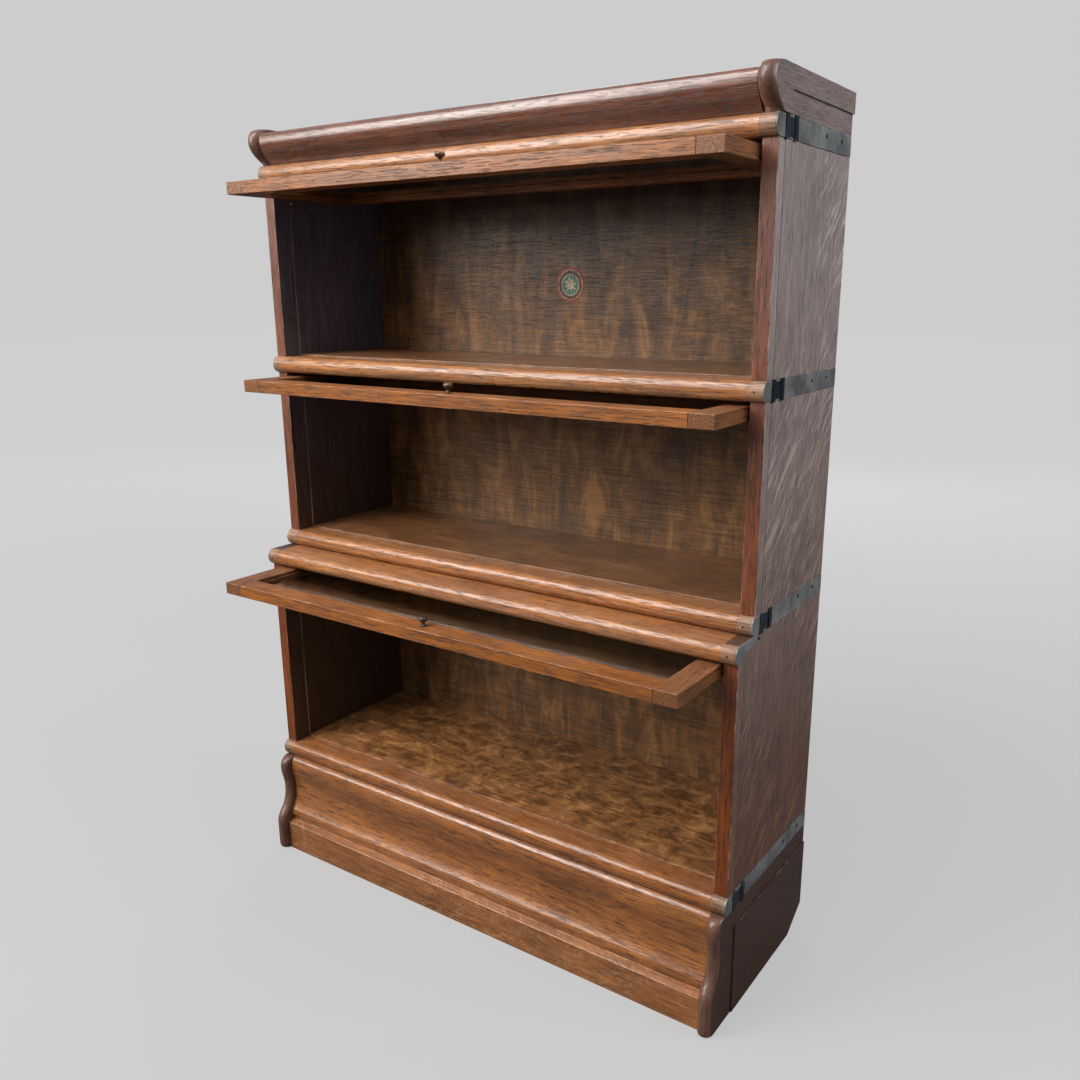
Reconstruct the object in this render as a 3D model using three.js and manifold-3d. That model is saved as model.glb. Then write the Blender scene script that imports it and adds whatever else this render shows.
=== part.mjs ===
// Sectional glazed bookcase: a plinth, three stacked sections with up-and-over doors, and a cornice.
// Millimetres, +Z up, front towards -Y, origin on the floor under the middle of the whole object.
// The three doors are modelled lifted level and pushed back into their sections.

import * as THREE from 'three';
import { mergeVertices } from 'three/addons/utils/BufferGeometryUtils.js';
import Module from 'manifold-3d';

const wasm = await Module();
wasm.setup();

// ---- overall ----
const WIDTH = 864;
const UPPER_DEPTH = 238;
const STEP = 44; // the bottom section and the plinth stand this far forward
const PLINTH_HEIGHT = 171.5;
const BOTTOM_OPENING = 331; // clear height of the bottom section
const UPPER_OPENING = 268.75; // clear height of the two shallower sections
const CORNICE_RISE = 52; // from the cornice's rounded rail to the top

// ---- boards ----
const SIDE_T = 20;
const RAIL_H = 25.5; // height of every rounded front rail
const NOSE_OUT = 10; // how far a rounded rail stands in front of its section
const RAIL_DEPTH = 31; // from the section's front back to the shelf
const SHELF_T = 20;
const SHELF_STEP = 2.5; // the shelf stands this much above the rail and stops the door
const BACK_T = 7;
const BACK_INSET = 1;
const SEAT = 0.1; // hairline gap at every glued or stacked joint

// ---- doors ----
const DOOR_T = 18.5;
const DOOR_SIDE_GAP = 2.5;
const DOOR_FOOT_GAP = 1.4; // hanging door to shelf
const UPPER_HEAD_GAP = 5.6; // level door to the rail above it
const BOTTOM_HEAD_GAP = 2.5;
const UPPER_DOOR_OUT = 90; // level door's front edge in front of its section
const BOTTOM_DOOR_OUT = 116;
const CLOSED_PIVOT_Y = 13.5; // pivot behind the section's front when the door is shut
const FRAME_W = 34; // stiles and rails
const TENON_L = 17;
const TENON_W = 20;
const TENON_T = 6;
const GLASS_T = 3;
const GLASS_GROOVE = 8;
const GLASS_PLAY = 0.3;
const KNOB_R = 7;
const KNOB_H = 15;
const KNOB_STEM_R = 3;

// ---- door shoes, which slide in blind grooves in the sides ----
const PIN_R = 3;
const PIN_REACH = 11; // length of the pin inside the stile
const SHOE_H = 11.4;
const SHOE_FRONT = 7;
const SHOE_REAR = 25;
const SHOE_PLAY = 0.3;
const GROOVE_DEPTH = 10;

// ---- steel bands ----
const BAND_T = 1.5;
const BAND_RECESS = 0.75;
const BAND_EDGE = 0.3; // bare line above and below a band
const BAND_REAR_GAP = 2;
const CLIP_FRONT = 14;
const CLIP_L = 36;
const CLIP_T = 2;
const CLIP_OVER = 0.8; // the clip laps this far past the band's edges
const STEP_PLATE_NECK = 16; // where the short plate narrows to its tongue, from the bottom section's front
const STEP_PLATE_REAR = 64; // rear end of the tongue

// ---- cornice ----
const CORNICE_OUT = 20;
const CORNICE_CAP_OUT = 28;
const CORNICE_CAP_RISE = 6; // end caps stand above the moulding
const MOULDING_BACK = 22;
const TOP_BOARD_T = 16;
const SIDE_LIP_H = 25.5;
const SIDE_LIP_T = 2.5;
const SIDE_LIP_FRONT = 31;

// ---- plinth ----
const BOARD_OUT = 31;
const BOARD_H = 51;
const FILLET_H = 6;
const LOWER_ROLL_OUT = 20;
const COVE_OUT = 9;
const TOP_ROLL_OUT = 14.5;
const PLINTH_CAP_PROUD = 13;
const PLINTH_MOULDING_BACK = 10;
const SKIRTING_NOTCH_L = 49;
const SKIRTING_NOTCH_H = 32;
const SIDE_PLATE_H = 141;
const SIDE_PLATE_T = 2;
const SIDE_PLATE_FRONT = 26;
const PLINTH_BACK_T = 18;
const PLINTH_BACK_INSET = 2;

// ---- derived ----
const HALF = WIDTH / 2;
const INNER = HALF - SIDE_T;
const END_R = DOOR_T / 2; // the door's pivot edge is rounded about the pivot
const BOTTOM_DEPTH = UPPER_DEPTH + STEP;
const BOTTOM_Z = PLINTH_HEIGHT;
const MIDDLE_Z = BOTTOM_Z + RAIL_H + BOTTOM_OPENING + RAIL_H;
const TOP_Z = MIDDLE_Z + RAIL_H + UPPER_OPENING;
const CORNICE_Z = TOP_Z + RAIL_H + UPPER_OPENING;
const CENTRE_Y = (UPPER_DEPTH - STEP - BOTTOM_DOOR_OUT) / 2;

// ---- finishes ----
const finish = (color, roughness, metalness = 0) => ({ color, roughness, metalness });
const OAK = finish(0x8a5a36, 0.45);
const OAK_RED = finish(0x9c5f3c, 0.4);
const OAK_SIDE = finish(0x6f5a50, 0.5);
const VENEER = finish(0x6e5236, 0.55);
const STEEL = finish(0x6a6d66, 0.45, 0.8);
const BRONZE = finish(0x54402c, 0.4, 0.7);
const GLASS = { ...finish(0xdfe8e4, 0.05), transparent: true, opacity: 0.35 };

// ---- solids ----
function toSolid(geometry) {
  const bare = geometry.clone();
  bare.deleteAttribute('normal');
  bare.deleteAttribute('uv');
  const merged = mergeVertices(bare, 1e-4);
  return new wasm.Manifold(new wasm.Mesh({
    numProp: 3,
    vertProperties: new Float32Array(merged.attributes.position.array),
    triVerts: new Uint32Array(merged.index.array),
  }));
}

function toGeometry(solid) {
  const { numProp, vertProperties, triVerts } = solid.getMesh();
  const positions = new Float32Array((vertProperties.length / numProp) * 3);
  for (let i = 0; i < positions.length / 3; i += 1) {
    positions.set(vertProperties.subarray(i * numProp, i * numProp + 3), i * 3);
  }
  const geometry = new THREE.BufferGeometry();
  geometry.setAttribute('position', new THREE.BufferAttribute(positions, 3));
  geometry.setIndex(new THREE.BufferAttribute(new Uint32Array(triVerts), 1));
  const faceted = geometry.toNonIndexed();
  faceted.computeVertexNormals();
  return faceted;
}

function cut(geometry, ...tools) {
  return toGeometry(tools.reduce((solid, tool) => solid.subtract(toSolid(tool)), toSolid(geometry)));
}

function join(geometry, ...others) {
  return toGeometry(others.reduce((solid, other) => solid.add(toSolid(other)), toSolid(geometry)));
}

function box([x0, x1], [y0, y1], [z0, z1]) {
  const geometry = new THREE.BoxGeometry(x1 - x0, y1 - y0, z1 - z0);
  return geometry.translate((x0 + x1) / 2, (y0 + y1) / 2, (z0 + z1) / 2);
}

// An outline drawn in (y, z), extruded along X.
function prism(shape, [x0, x1], curveSegments = 8) {
  const geometry = new THREE.ExtrudeGeometry(shape, { depth: x1 - x0, bevelEnabled: false, curveSegments });
  const turn = new THREE.Matrix4().makeBasis(
    new THREE.Vector3(0, 1, 0),
    new THREE.Vector3(0, 0, 1),
    new THREE.Vector3(1, 0, 0),
  );
  return geometry.applyMatrix4(turn).translate(x0, 0, 0);
}

// The interval between two distances from the middle, on the right (1) or the left (-1).
function span(hand, near, far) {
  return hand > 0 ? [near, far] : [-far, -near];
}

function rodX(radius, [x0, x1], y, z) {
  const geometry = new THREE.CylinderGeometry(radius, radius, x1 - x0, 24);
  return geometry.rotateZ(Math.PI / 2).translate((x0 + x1) / 2, y, z);
}

function mesh(name, geometry, look) {
  const made = new THREE.Mesh(geometry, new THREE.MeshStandardMaterial(look));
  made.name = name;
  return made;
}

function group(x, y, z, ...children) {
  const made = new THREE.Group();
  made.position.set(x, y, z);
  made.add(...children);
  return made;
}

const HANDS = [['left', -1], ['right', 1]];

// ---- rounded rails and the boards they front ----
// Draws the rounded nose from its upper corner to its lower corner, both on the front plane.
function drawNose(shape, zTop, inset = 0) {
  const half = RAIL_H / 2;
  shape.absellipse(0, zTop - half, NOSE_OUT - inset, half - inset, Math.PI / 2, Math.PI * 1.5, false);
}

function noseBoard(rear, underside) {
  const shape = new THREE.Shape();
  shape.moveTo(rear, RAIL_H);
  shape.lineTo(0, RAIL_H);
  drawNose(shape, RAIL_H);
  if (underside > 0) {
    shape.lineTo(RAIL_DEPTH, 0);
    shape.lineTo(RAIL_DEPTH, underside);
    shape.lineTo(rear, underside);
  } else {
    shape.lineTo(rear, 0);
  }
  return prism(shape, [-INNER + SEAT, INNER - SEAT]);
}

// ---- sides ----
function sideOutline(depth, height, hasLedge) {
  const shape = new THREE.Shape();
  shape.moveTo(depth, SEAT);
  shape.lineTo(depth, height);
  shape.lineTo(0, height);
  if (hasLedge) {
    drawNose(shape, height);
  }
  shape.lineTo(0, RAIL_H);
  drawNose(shape, RAIL_H);
  shape.lineTo(0, SEAT);
  return shape;
}

function bandRecess(hand, [y0, y1], [z0, z1]) {
  return box(span(hand, HALF - BAND_RECESS, HALF + 1), [y0, y1], [z0, z1]);
}

function stepRecess(hand, height) {
  const shape = new THREE.Shape();
  shape.moveTo(-NOSE_OUT - 1, height + 1);
  shape.lineTo(-NOSE_OUT - 1, height - RAIL_H);
  shape.lineTo(0, height - RAIL_H);
  shape.lineTo(STEP_PLATE_NECK, height - RAIL_H / 2 - BAND_EDGE);
  shape.lineTo(STEP_PLATE_REAR + SEAT, height - RAIL_H / 2 - BAND_EDGE);
  shape.lineTo(STEP_PLATE_REAR + SEAT, height + 1);
  return prism(shape, span(hand, HALF - BAND_RECESS, HALF + 1));
}

function makeSide(section, label, hand) {
  const { name, depth, height, hasLedge, pivotZ, openPivotY } = section;
  const tools = [
    box(
      span(hand, INNER - 1, INNER + GROOVE_DEPTH),
      [CLOSED_PIVOT_Y - SHOE_FRONT - SHOE_PLAY, openPivotY + SHOE_REAR + SHOE_PLAY],
      [pivotZ - SHOE_H / 2 - SHOE_PLAY, pivotZ + SHOE_H / 2 + SHOE_PLAY],
    ),
    bandRecess(hand, [-NOSE_OUT - 1, depth + 1], [-1, RAIL_H]),
  ];
  if (hasLedge) {
    tools.push(stepRecess(hand, height));
  }
  const board = prism(sideOutline(depth, height, hasLedge), span(hand, INNER, HALF));
  return mesh(`${name}_side_${label}`, cut(board, ...tools), OAK_SIDE);
}

// ---- steel bands on the ends of the rounded rails ----
function bandX(hand) {
  return span(hand, HALF - BAND_RECESS + SEAT, HALF - BAND_RECESS + SEAT + BAND_T);
}

function makeBand(name, label, hand, depth) {
  const shape = new THREE.Shape();
  shape.moveTo(depth - BAND_REAR_GAP, BAND_EDGE);
  shape.lineTo(depth - BAND_REAR_GAP, RAIL_H - BAND_EDGE);
  shape.lineTo(0, RAIL_H - BAND_EDGE);
  drawNose(shape, RAIL_H, BAND_EDGE);
  const clip = box(
    span(hand, HALF + SEAT, HALF - BAND_RECESS + SEAT + BAND_T + CLIP_T),
    [CLIP_FRONT, CLIP_FRONT + CLIP_L],
    [-CLIP_OVER, RAIL_H + CLIP_OVER],
  );
  return mesh(`${name}_band_${label}`, join(prism(shape, bandX(hand)), clip), STEEL);
}

function makeStepPlate(label, hand, section) {
  const low = section.height - RAIL_H / 2;
  const high = section.height - BAND_EDGE - CLIP_OVER;
  const shape = new THREE.Shape();
  shape.moveTo(STEP_PLATE_REAR, low);
  shape.lineTo(STEP_PLATE_REAR, high);
  shape.lineTo(0, high);
  drawNose(shape, section.height, BAND_EDGE);
  shape.lineTo(STEP_PLATE_NECK, low);
  return mesh(`step_plate_${label}`, prism(shape, bandX(hand)), STEEL);
}

// ---- doors ----
// A door is drawn level, about its pivot: it reaches forward to -reach and its outer face is up.
function drawDoorEdge(shape, front) {
  shape.moveTo(front, -END_R);
  shape.lineTo(0, -END_R);
  shape.absarc(0, 0, END_R, -Math.PI / 2, Math.PI / 2, false);
  shape.lineTo(front, END_R);
}

function glassSlot(xSpan, ySpan) {
  const half = GLASS_T / 2 + GLASS_PLAY;
  return box(xSpan, ySpan, [-half, half]);
}

function tenon(hand, [y0, y1], length, play) {
  const middle = (y0 + y1) / 2;
  const halfW = TENON_W / 2 + play;
  const halfT = TENON_T / 2 + play;
  const inner = INNER - DOOR_SIDE_GAP - FRAME_W;
  return box(span(hand, inner - 1, inner + length + play), [middle - halfW, middle + halfW], [-halfT, halfT]);
}

function makeDoor(section) {
  const { name, reach, pivotZ, openPivotY } = section;
  const outer = INNER - DOOR_SIDE_GAP;
  const inner = outer - FRAME_W;
  const footRail = [-reach, -reach + FRAME_W];
  const headRail = [END_R - FRAME_W, END_R];
  const daylight = [footRail[1], headRail[0]];
  const slotY = [daylight[0] - GLASS_GROOVE, daylight[1] + GLASS_GROOVE];
  const slotX = [-inner - GLASS_GROOVE, inner + GLASS_GROOVE];

  const stiles = HANDS.map(([label, hand]) => {
    const shape = new THREE.Shape();
    drawDoorEdge(shape, -reach);
    const stile = cut(
      prism(shape, span(hand, inner, outer), 16),
      glassSlot(slotX, slotY),
      tenon(hand, footRail, TENON_L, GLASS_PLAY),
      tenon(hand, headRail, TENON_L, GLASS_PLAY),
      rodX(PIN_R + SHOE_PLAY, span(hand, outer - PIN_REACH - SHOE_PLAY, outer + 1), 0, 0),
    );
    return mesh(`${name}_door_stile_${label}`, stile, OAK_RED);
  });

  const railX = [-inner + SEAT, inner - SEAT];
  const footBlock = box(railX, footRail, [-END_R, END_R]);
  const headShape = new THREE.Shape();
  drawDoorEdge(headShape, headRail[0]);
  const headBlock = prism(headShape, railX, 16);
  const railBlocks = [['bottom', footBlock, footRail], ['top', headBlock, headRail]];
  const rails = railBlocks.map(([label, block, ySpan]) => {
    const withTenons = join(block, ...HANDS.map(([, hand]) => tenon(hand, ySpan, TENON_L - SEAT, 0)));
    return mesh(`${name}_door_${label}_rail`, cut(withTenons, glassSlot(slotX, slotY)), OAK);
  });

  const pane = box(
    [slotX[0] + GLASS_PLAY, slotX[1] - GLASS_PLAY],
    [slotY[0] + GLASS_PLAY, slotY[1] - GLASS_PLAY],
    [-GLASS_T / 2, GLASS_T / 2],
  );
  const knob = makeKnob().translate(0, -reach + FRAME_W / 2, END_R + SEAT);

  return group(
    0,
    openPivotY,
    pivotZ,
    ...stiles,
    ...rails,
    mesh(`${name}_door_glass`, pane, GLASS),
    mesh(`${name}_door_knob`, knob, BRONZE),
    ...HANDS.map(([label, hand]) => mesh(`${name}_shoe_${label}`, makeShoe(hand), STEEL)),
  );
}

function makeKnob() {
  const profile = new THREE.Path();
  profile.moveTo(0, 0);
  profile.lineTo(KNOB_R * 0.75, 0);
  profile.quadraticCurveTo(KNOB_STEM_R, KNOB_H * 0.1, KNOB_STEM_R, KNOB_H * 0.35);
  profile.quadraticCurveTo(KNOB_R, KNOB_H * 0.45, KNOB_R, KNOB_H * 0.7);
  profile.quadraticCurveTo(KNOB_R * 0.9, KNOB_H, 0, KNOB_H);
  return new THREE.LatheGeometry(profile.getPoints(5), 24).rotateX(Math.PI / 2);
}

function makeShoe(hand) {
  const block = box(
    span(hand, INNER + SHOE_PLAY, INNER + GROOVE_DEPTH - SHOE_PLAY),
    [-SHOE_FRONT, SHOE_REAR],
    [-SHOE_H / 2, SHOE_H / 2],
  );
  const pin = rodX(PIN_R, span(hand, INNER - DOOR_SIDE_GAP - PIN_REACH, INNER + GROOVE_DEPTH / 2), 0, 0);
  return join(block, pin);
}

// ---- sections ----
function makeSection(spec) {
  const { name, depth, opening, headGap, doorOut, hasLedge } = spec;
  const height = RAIL_H + opening + (hasLedge ? RAIL_H : 0);
  const pivotZ = RAIL_H + opening - headGap - END_R;
  const reach = pivotZ - (RAIL_H + SHELF_STEP + DOOR_FOOT_GAP);
  const section = { ...spec, height, pivotZ, reach, openPivotY: reach - doorOut };
  const backFace = depth - BACK_INSET - BACK_T;

  const pieces = HANDS.flatMap(([label, hand]) => [
    makeSide(section, label, hand),
    makeBand(name, label, hand, depth),
  ]);
  const rail = noseBoard(RAIL_DEPTH, 0);
  const shelfTop = RAIL_H + SHELF_STEP;
  const shelf = box(
    [-INNER + SEAT, INNER - SEAT],
    [RAIL_DEPTH + SEAT, backFace - SEAT],
    [shelfTop - SHELF_T, shelfTop],
  );
  const back = box([-INNER + SEAT, INNER - SEAT], [backFace, backFace + BACK_T], [SEAT, height]);
  pieces.push(
    mesh(`${name}_rail`, rail.translate(0, 0, SEAT), OAK_RED),
    mesh(`${name}_shelf`, shelf, VENEER),
    mesh(`${name}_back`, back, VENEER),
    makeDoor(section),
  );
  if (hasLedge) {
    const ledge = noseBoard(backFace - SEAT, 0).translate(0, 0, height - RAIL_H);
    pieces.push(mesh(`${name}_ledge`, ledge, OAK_RED));
    pieces.push(...HANDS.map(([label, hand]) => makeStepPlate(label, hand, section)));
  }
  return pieces;
}

// ---- shaped ends, half-round in plan along their front profile ----
// The profile runs upwards in (y, z); the front of the rounded edge follows it.
function cappedEnd(hand, outer, rear, profile) {
  const radius = (outer - INNER) / 2;
  const middle = hand * (outer - radius);
  const plan = new THREE.Shape();
  plan.moveTo(middle - radius, rear);
  plan.lineTo(middle - radius, radius);
  plan.absarc(middle, radius, radius, Math.PI, Math.PI * 2, false);
  plan.lineTo(middle + radius, rear);
  const steps = profile.length - 1;
  const settings = { depth: 1, steps, bevelEnabled: false, curveSegments: 10 };
  const geometry = new THREE.ExtrudeGeometry(plan, settings);
  const position = geometry.attributes.position;
  for (let i = 0; i < position.count; i += 1) {
    const level = profile[Math.round(position.getZ(i) * steps)];
    const y = position.getY(i);
    position.setXYZ(i, position.getX(i), y < radius * 1.01 ? y + level.x : y, level.y);
  }
  return geometry;
}

// ---- cornice ----
function makeCornice() {
  const top = RAIL_H + CORNICE_RISE;
  const mouldingTop = top - CORNICE_CAP_RISE;
  const backFace = UPPER_DEPTH - BACK_INSET - BACK_T;

  const capProfile = new THREE.Path();
  capProfile.moveTo(-NOSE_OUT * 0.3, RAIL_H - NOSE_OUT / 2);
  capProfile.bezierCurveTo(
    -CORNICE_CAP_OUT * 0.4, RAIL_H + CORNICE_RISE * 0.15,
    -CORNICE_CAP_OUT, RAIL_H + CORNICE_RISE * 0.35,
    -CORNICE_CAP_OUT, top - CORNICE_RISE * 0.37,
  );
  capProfile.bezierCurveTo(
    -CORNICE_CAP_OUT, top - CORNICE_RISE * 0.15,
    -CORNICE_CAP_OUT * 0.75, top - CORNICE_RISE * 0.02,
    -CORNICE_CAP_OUT * 0.3, top,
  );

  const ends = HANDS.flatMap(([label, hand]) => {
    const foot = prism(sideOutline(UPPER_DEPTH, RAIL_H, false), span(hand, INNER, HALF));
    const cap = cappedEnd(hand, HALF + SIDE_LIP_T, SIDE_LIP_FRONT, capProfile.getPoints(8));
    const behindCap = [SIDE_LIP_FRONT - 1, UPPER_DEPTH];
    const lip = box(span(hand, INNER, HALF + SIDE_LIP_T), behindCap, [top - SIDE_LIP_H, top]);
    const panel = box(span(hand, INNER, HALF), behindCap, [RAIL_H - 1, top - 1]);
    const recess = bandRecess(hand, [-NOSE_OUT - 1, UPPER_DEPTH + 1], [-1, RAIL_H]);
    const overClip = box(
      span(hand, HALF, HALF + SIDE_LIP_T + 1),
      [-CORNICE_CAP_OUT, UPPER_DEPTH + 1],
      [-1, RAIL_H + CLIP_OVER + SEAT],
    );
    return [
      mesh(`cornice_end_${label}`, cut(join(foot, cap, lip, panel), recess, overClip), OAK_SIDE),
      makeBand('cornice', label, hand, UPPER_DEPTH),
    ];
  });

  const front = new THREE.Shape();
  front.moveTo(MOULDING_BACK, RAIL_H + SEAT);
  front.lineTo(0, RAIL_H + SEAT);
  front.bezierCurveTo(
    -CORNICE_OUT * 0.4, RAIL_H + CORNICE_RISE * 0.2,
    -CORNICE_OUT, RAIL_H + CORNICE_RISE * 0.35,
    -CORNICE_OUT, mouldingTop - CORNICE_RISE * 0.27,
  );
  front.bezierCurveTo(
    -CORNICE_OUT, mouldingTop - CORNICE_RISE * 0.1,
    -CORNICE_OUT * 0.8, mouldingTop,
    -CORNICE_OUT * 0.4, mouldingTop,
  );
  front.lineTo(MOULDING_BACK, mouldingTop);

  const betweenEnds = [-INNER + SEAT, INNER - SEAT];
  const topBoard = box(
    betweenEnds,
    [MOULDING_BACK + SEAT, backFace - SEAT],
    [mouldingTop - TOP_BOARD_T, mouldingTop],
  );
  const backRail = box(betweenEnds, [backFace, backFace + BACK_T], [SEAT, mouldingTop]);
  const base = noseBoard(backFace - SEAT, RAIL_H - SHELF_T + SHELF_STEP).translate(0, 0, SEAT / 2);
  return [
    ...ends,
    mesh('cornice_rail', base, OAK_RED),
    mesh('cornice_moulding', prism(front, betweenEnds, 12), OAK),
    mesh('cornice_top_board', topBoard, OAK),
    mesh('cornice_back', backRail, VENEER),
  ];
}

// ---- plinth, drawn from the bottom section's front plane ----
function makePlinth() {
  const top = PLINTH_HEIGHT - SEAT;
  const rollFoot = BOARD_H + 3 + FILLET_H;
  const edge = 3;

  const front = new THREE.Shape();
  front.moveTo(PLINTH_MOULDING_BACK, 0);
  front.lineTo(-BOARD_OUT, 0);
  front.lineTo(-BOARD_OUT, BOARD_H - edge);
  front.quadraticCurveTo(-BOARD_OUT, BOARD_H, -BOARD_OUT + edge, BOARD_H);
  front.lineTo(-LOWER_ROLL_OUT + 1, BOARD_H + 3);
  front.lineTo(-LOWER_ROLL_OUT + 1, rollFoot);
  front.bezierCurveTo(
    -LOWER_ROLL_OUT - 3, rollFoot + 1,
    -LOWER_ROLL_OUT - 3, rollFoot + 9,
    -LOWER_ROLL_OUT + 1, rollFoot + 14,
  );
  const coveFoot = rollFoot + 14;
  const coveMiddle = coveFoot + (top - coveFoot) * 0.4;
  const rollHead = top - 19;
  front.bezierCurveTo(
    -COVE_OUT - 3, coveFoot + 11,
    -COVE_OUT, coveFoot + 18,
    -COVE_OUT, coveMiddle,
  );
  front.bezierCurveTo(
    -COVE_OUT, coveMiddle + 18,
    -TOP_ROLL_OUT, rollHead - 14,
    -TOP_ROLL_OUT, rollHead,
  );
  front.bezierCurveTo(
    -TOP_ROLL_OUT, top - 7,
    -TOP_ROLL_OUT * 0.75, top,
    -TOP_ROLL_OUT * 0.2, top,
  );
  front.lineTo(PLINTH_MOULDING_BACK, top);

  const capProfile = new THREE.Path();
  capProfile.moveTo(-BOARD_OUT - PLINTH_CAP_PROUD + 8, 0);
  capProfile.quadraticCurveTo(-BOARD_OUT - PLINTH_CAP_PROUD, 1, -BOARD_OUT - PLINTH_CAP_PROUD, 11);
  capProfile.lineTo(-BOARD_OUT - PLINTH_CAP_PROUD, BOARD_H - 1);
  capProfile.bezierCurveTo(
    -BOARD_OUT - PLINTH_CAP_PROUD, BOARD_H + 24,
    -COVE_OUT - PLINTH_CAP_PROUD, coveFoot - 2,
    -COVE_OUT - PLINTH_CAP_PROUD, coveMiddle,
  );
  capProfile.bezierCurveTo(
    -COVE_OUT - PLINTH_CAP_PROUD, coveMiddle + 20,
    -TOP_ROLL_OUT - PLINTH_CAP_PROUD, rollHead - 16,
    -TOP_ROLL_OUT - PLINTH_CAP_PROUD, rollHead,
  );
  capProfile.bezierCurveTo(
    -TOP_ROLL_OUT - PLINTH_CAP_PROUD, top - 6,
    -TOP_ROLL_OUT * 0.5 - PLINTH_CAP_PROUD, top - 1,
    -PLINTH_CAP_PROUD, top,
  );

  const notch = new THREE.Shape();
  notch.moveTo(BOTTOM_DEPTH - SKIRTING_NOTCH_L, -1);
  notch.lineTo(BOTTOM_DEPTH - SKIRTING_NOTCH_L, 0);
  notch.lineTo(BOTTOM_DEPTH, SKIRTING_NOTCH_H);
  notch.lineTo(BOTTOM_DEPTH + 1, SKIRTING_NOTCH_H);
  notch.lineTo(BOTTOM_DEPTH + 1, -1);

  const ends = HANDS.map(([label, hand]) => {
    const cap = cappedEnd(hand, HALF, BOTTOM_DEPTH, capProfile.getPoints(6));
    const plate = box(
      span(hand, HALF - 1, HALF + SIDE_PLATE_T),
      [SIDE_PLATE_FRONT, BOTTOM_DEPTH],
      [0, SIDE_PLATE_H],
    );
    const end = cut(join(cap, plate), prism(notch, span(hand, INNER - 1, HALF + SIDE_PLATE_T + 1)));
    return mesh(`plinth_end_${label}`, end, OAK_SIDE);
  });

  const betweenEnds = [-INNER + SEAT, INNER - SEAT];
  const backY = BOTTOM_DEPTH - PLINTH_BACK_INSET;
  const back = box(betweenEnds, [backY - PLINTH_BACK_T, backY], [SKIRTING_NOTCH_H, top]);
  return [
    ...ends,
    mesh('plinth_moulding', prism(front, betweenEnds, 8), OAK),
    mesh('plinth_back', back, OAK),
  ];
}

// ---- the whole bookcase ----
const upperSection = {
  depth: UPPER_DEPTH,
  opening: UPPER_OPENING,
  headGap: UPPER_HEAD_GAP,
  doorOut: UPPER_DOOR_OUT,
  hasLedge: false,
};
const bottomSection = {
  name: 'bottom',
  depth: BOTTOM_DEPTH,
  opening: BOTTOM_OPENING,
  headGap: BOTTOM_HEAD_GAP,
  doorOut: BOTTOM_DOOR_OUT,
  hasLedge: true,
};

const bookcase = group(
  0,
  -CENTRE_Y,
  0,
  group(0, -STEP, 0, ...makePlinth()),
  group(0, -STEP, BOTTOM_Z, ...makeSection(bottomSection)),
  group(0, 0, MIDDLE_Z, ...makeSection({ name: 'middle', ...upperSection })),
  group(0, 0, TOP_Z, ...makeSection({ name: 'top', ...upperSection })),
  group(0, 0, CORNICE_Z, ...makeCornice()),
);
bookcase.name = 'barrister_bookcase';

export default bookcase;
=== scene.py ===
"""Looks of a sectional oak bookcase with three glazed up-and-over doors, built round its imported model."""

import logging
import math
from dataclasses import dataclass
from enum import Enum

import bmesh
import bpy
from mathutils import Matrix, Vector

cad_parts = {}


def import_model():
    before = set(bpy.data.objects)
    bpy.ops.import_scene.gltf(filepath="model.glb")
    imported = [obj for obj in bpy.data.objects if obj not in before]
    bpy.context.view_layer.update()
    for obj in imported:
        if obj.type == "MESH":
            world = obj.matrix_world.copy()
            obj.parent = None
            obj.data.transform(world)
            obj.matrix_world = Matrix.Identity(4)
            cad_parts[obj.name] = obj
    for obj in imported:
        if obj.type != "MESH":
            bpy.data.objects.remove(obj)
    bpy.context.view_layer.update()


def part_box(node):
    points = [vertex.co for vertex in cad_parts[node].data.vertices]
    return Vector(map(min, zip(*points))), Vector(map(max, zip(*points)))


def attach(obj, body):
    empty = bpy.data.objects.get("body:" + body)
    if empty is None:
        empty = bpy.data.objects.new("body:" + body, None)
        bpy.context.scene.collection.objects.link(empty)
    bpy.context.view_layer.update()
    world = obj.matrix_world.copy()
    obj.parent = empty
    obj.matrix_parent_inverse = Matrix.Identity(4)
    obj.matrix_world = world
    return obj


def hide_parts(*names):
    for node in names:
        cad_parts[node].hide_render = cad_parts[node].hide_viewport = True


log = logging.getLogger("bookcase")

Point = tuple[float, float]
Colour = tuple[float, float, float]
Range = tuple[float, float]
Socket = bpy.types.NodeSocket

Face = bmesh.types.BMFace

MM = 0.001
TINY = 1e-6  # nearer than this, two points are one
FLUSH = 0.999  # a face looks one way if its normal's share of it is more than this
UP = Vector((0.0, 0.0, 1.0))
FORWARD = Vector((0.0, -1.0, 0.0))
REARWARD = Vector((0.0, 1.0, 0.0))


def paint(red: int, green: int, blue: int) -> Colour:
    """A colour from its everyday 0 to 255 numbers.

    Args:
        red: share of red.
        green: share of green.
        blue: share of blue.

    Returns:
        The colour as linear light.
    """
    shares = (red / 255, green / 255, blue / 255)
    return tuple(c / 12.92 if c <= 0.04045 else ((c + 0.055) / 1.055) ** 2.4 for c in shares)


PORE_SHADOW: Colour = (0.008, 0.004, 0.002)
OLD_POLISH: Colour = (0.01, 0.006, 0.004)
JOINT_SHADOW: Colour = (0.006, 0.004, 0.003)
TARNISH: Colour = (0.01, 0.012, 0.012)
HOUSE_DUST = paint(190, 180, 172)


# ---- node trees ----


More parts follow.
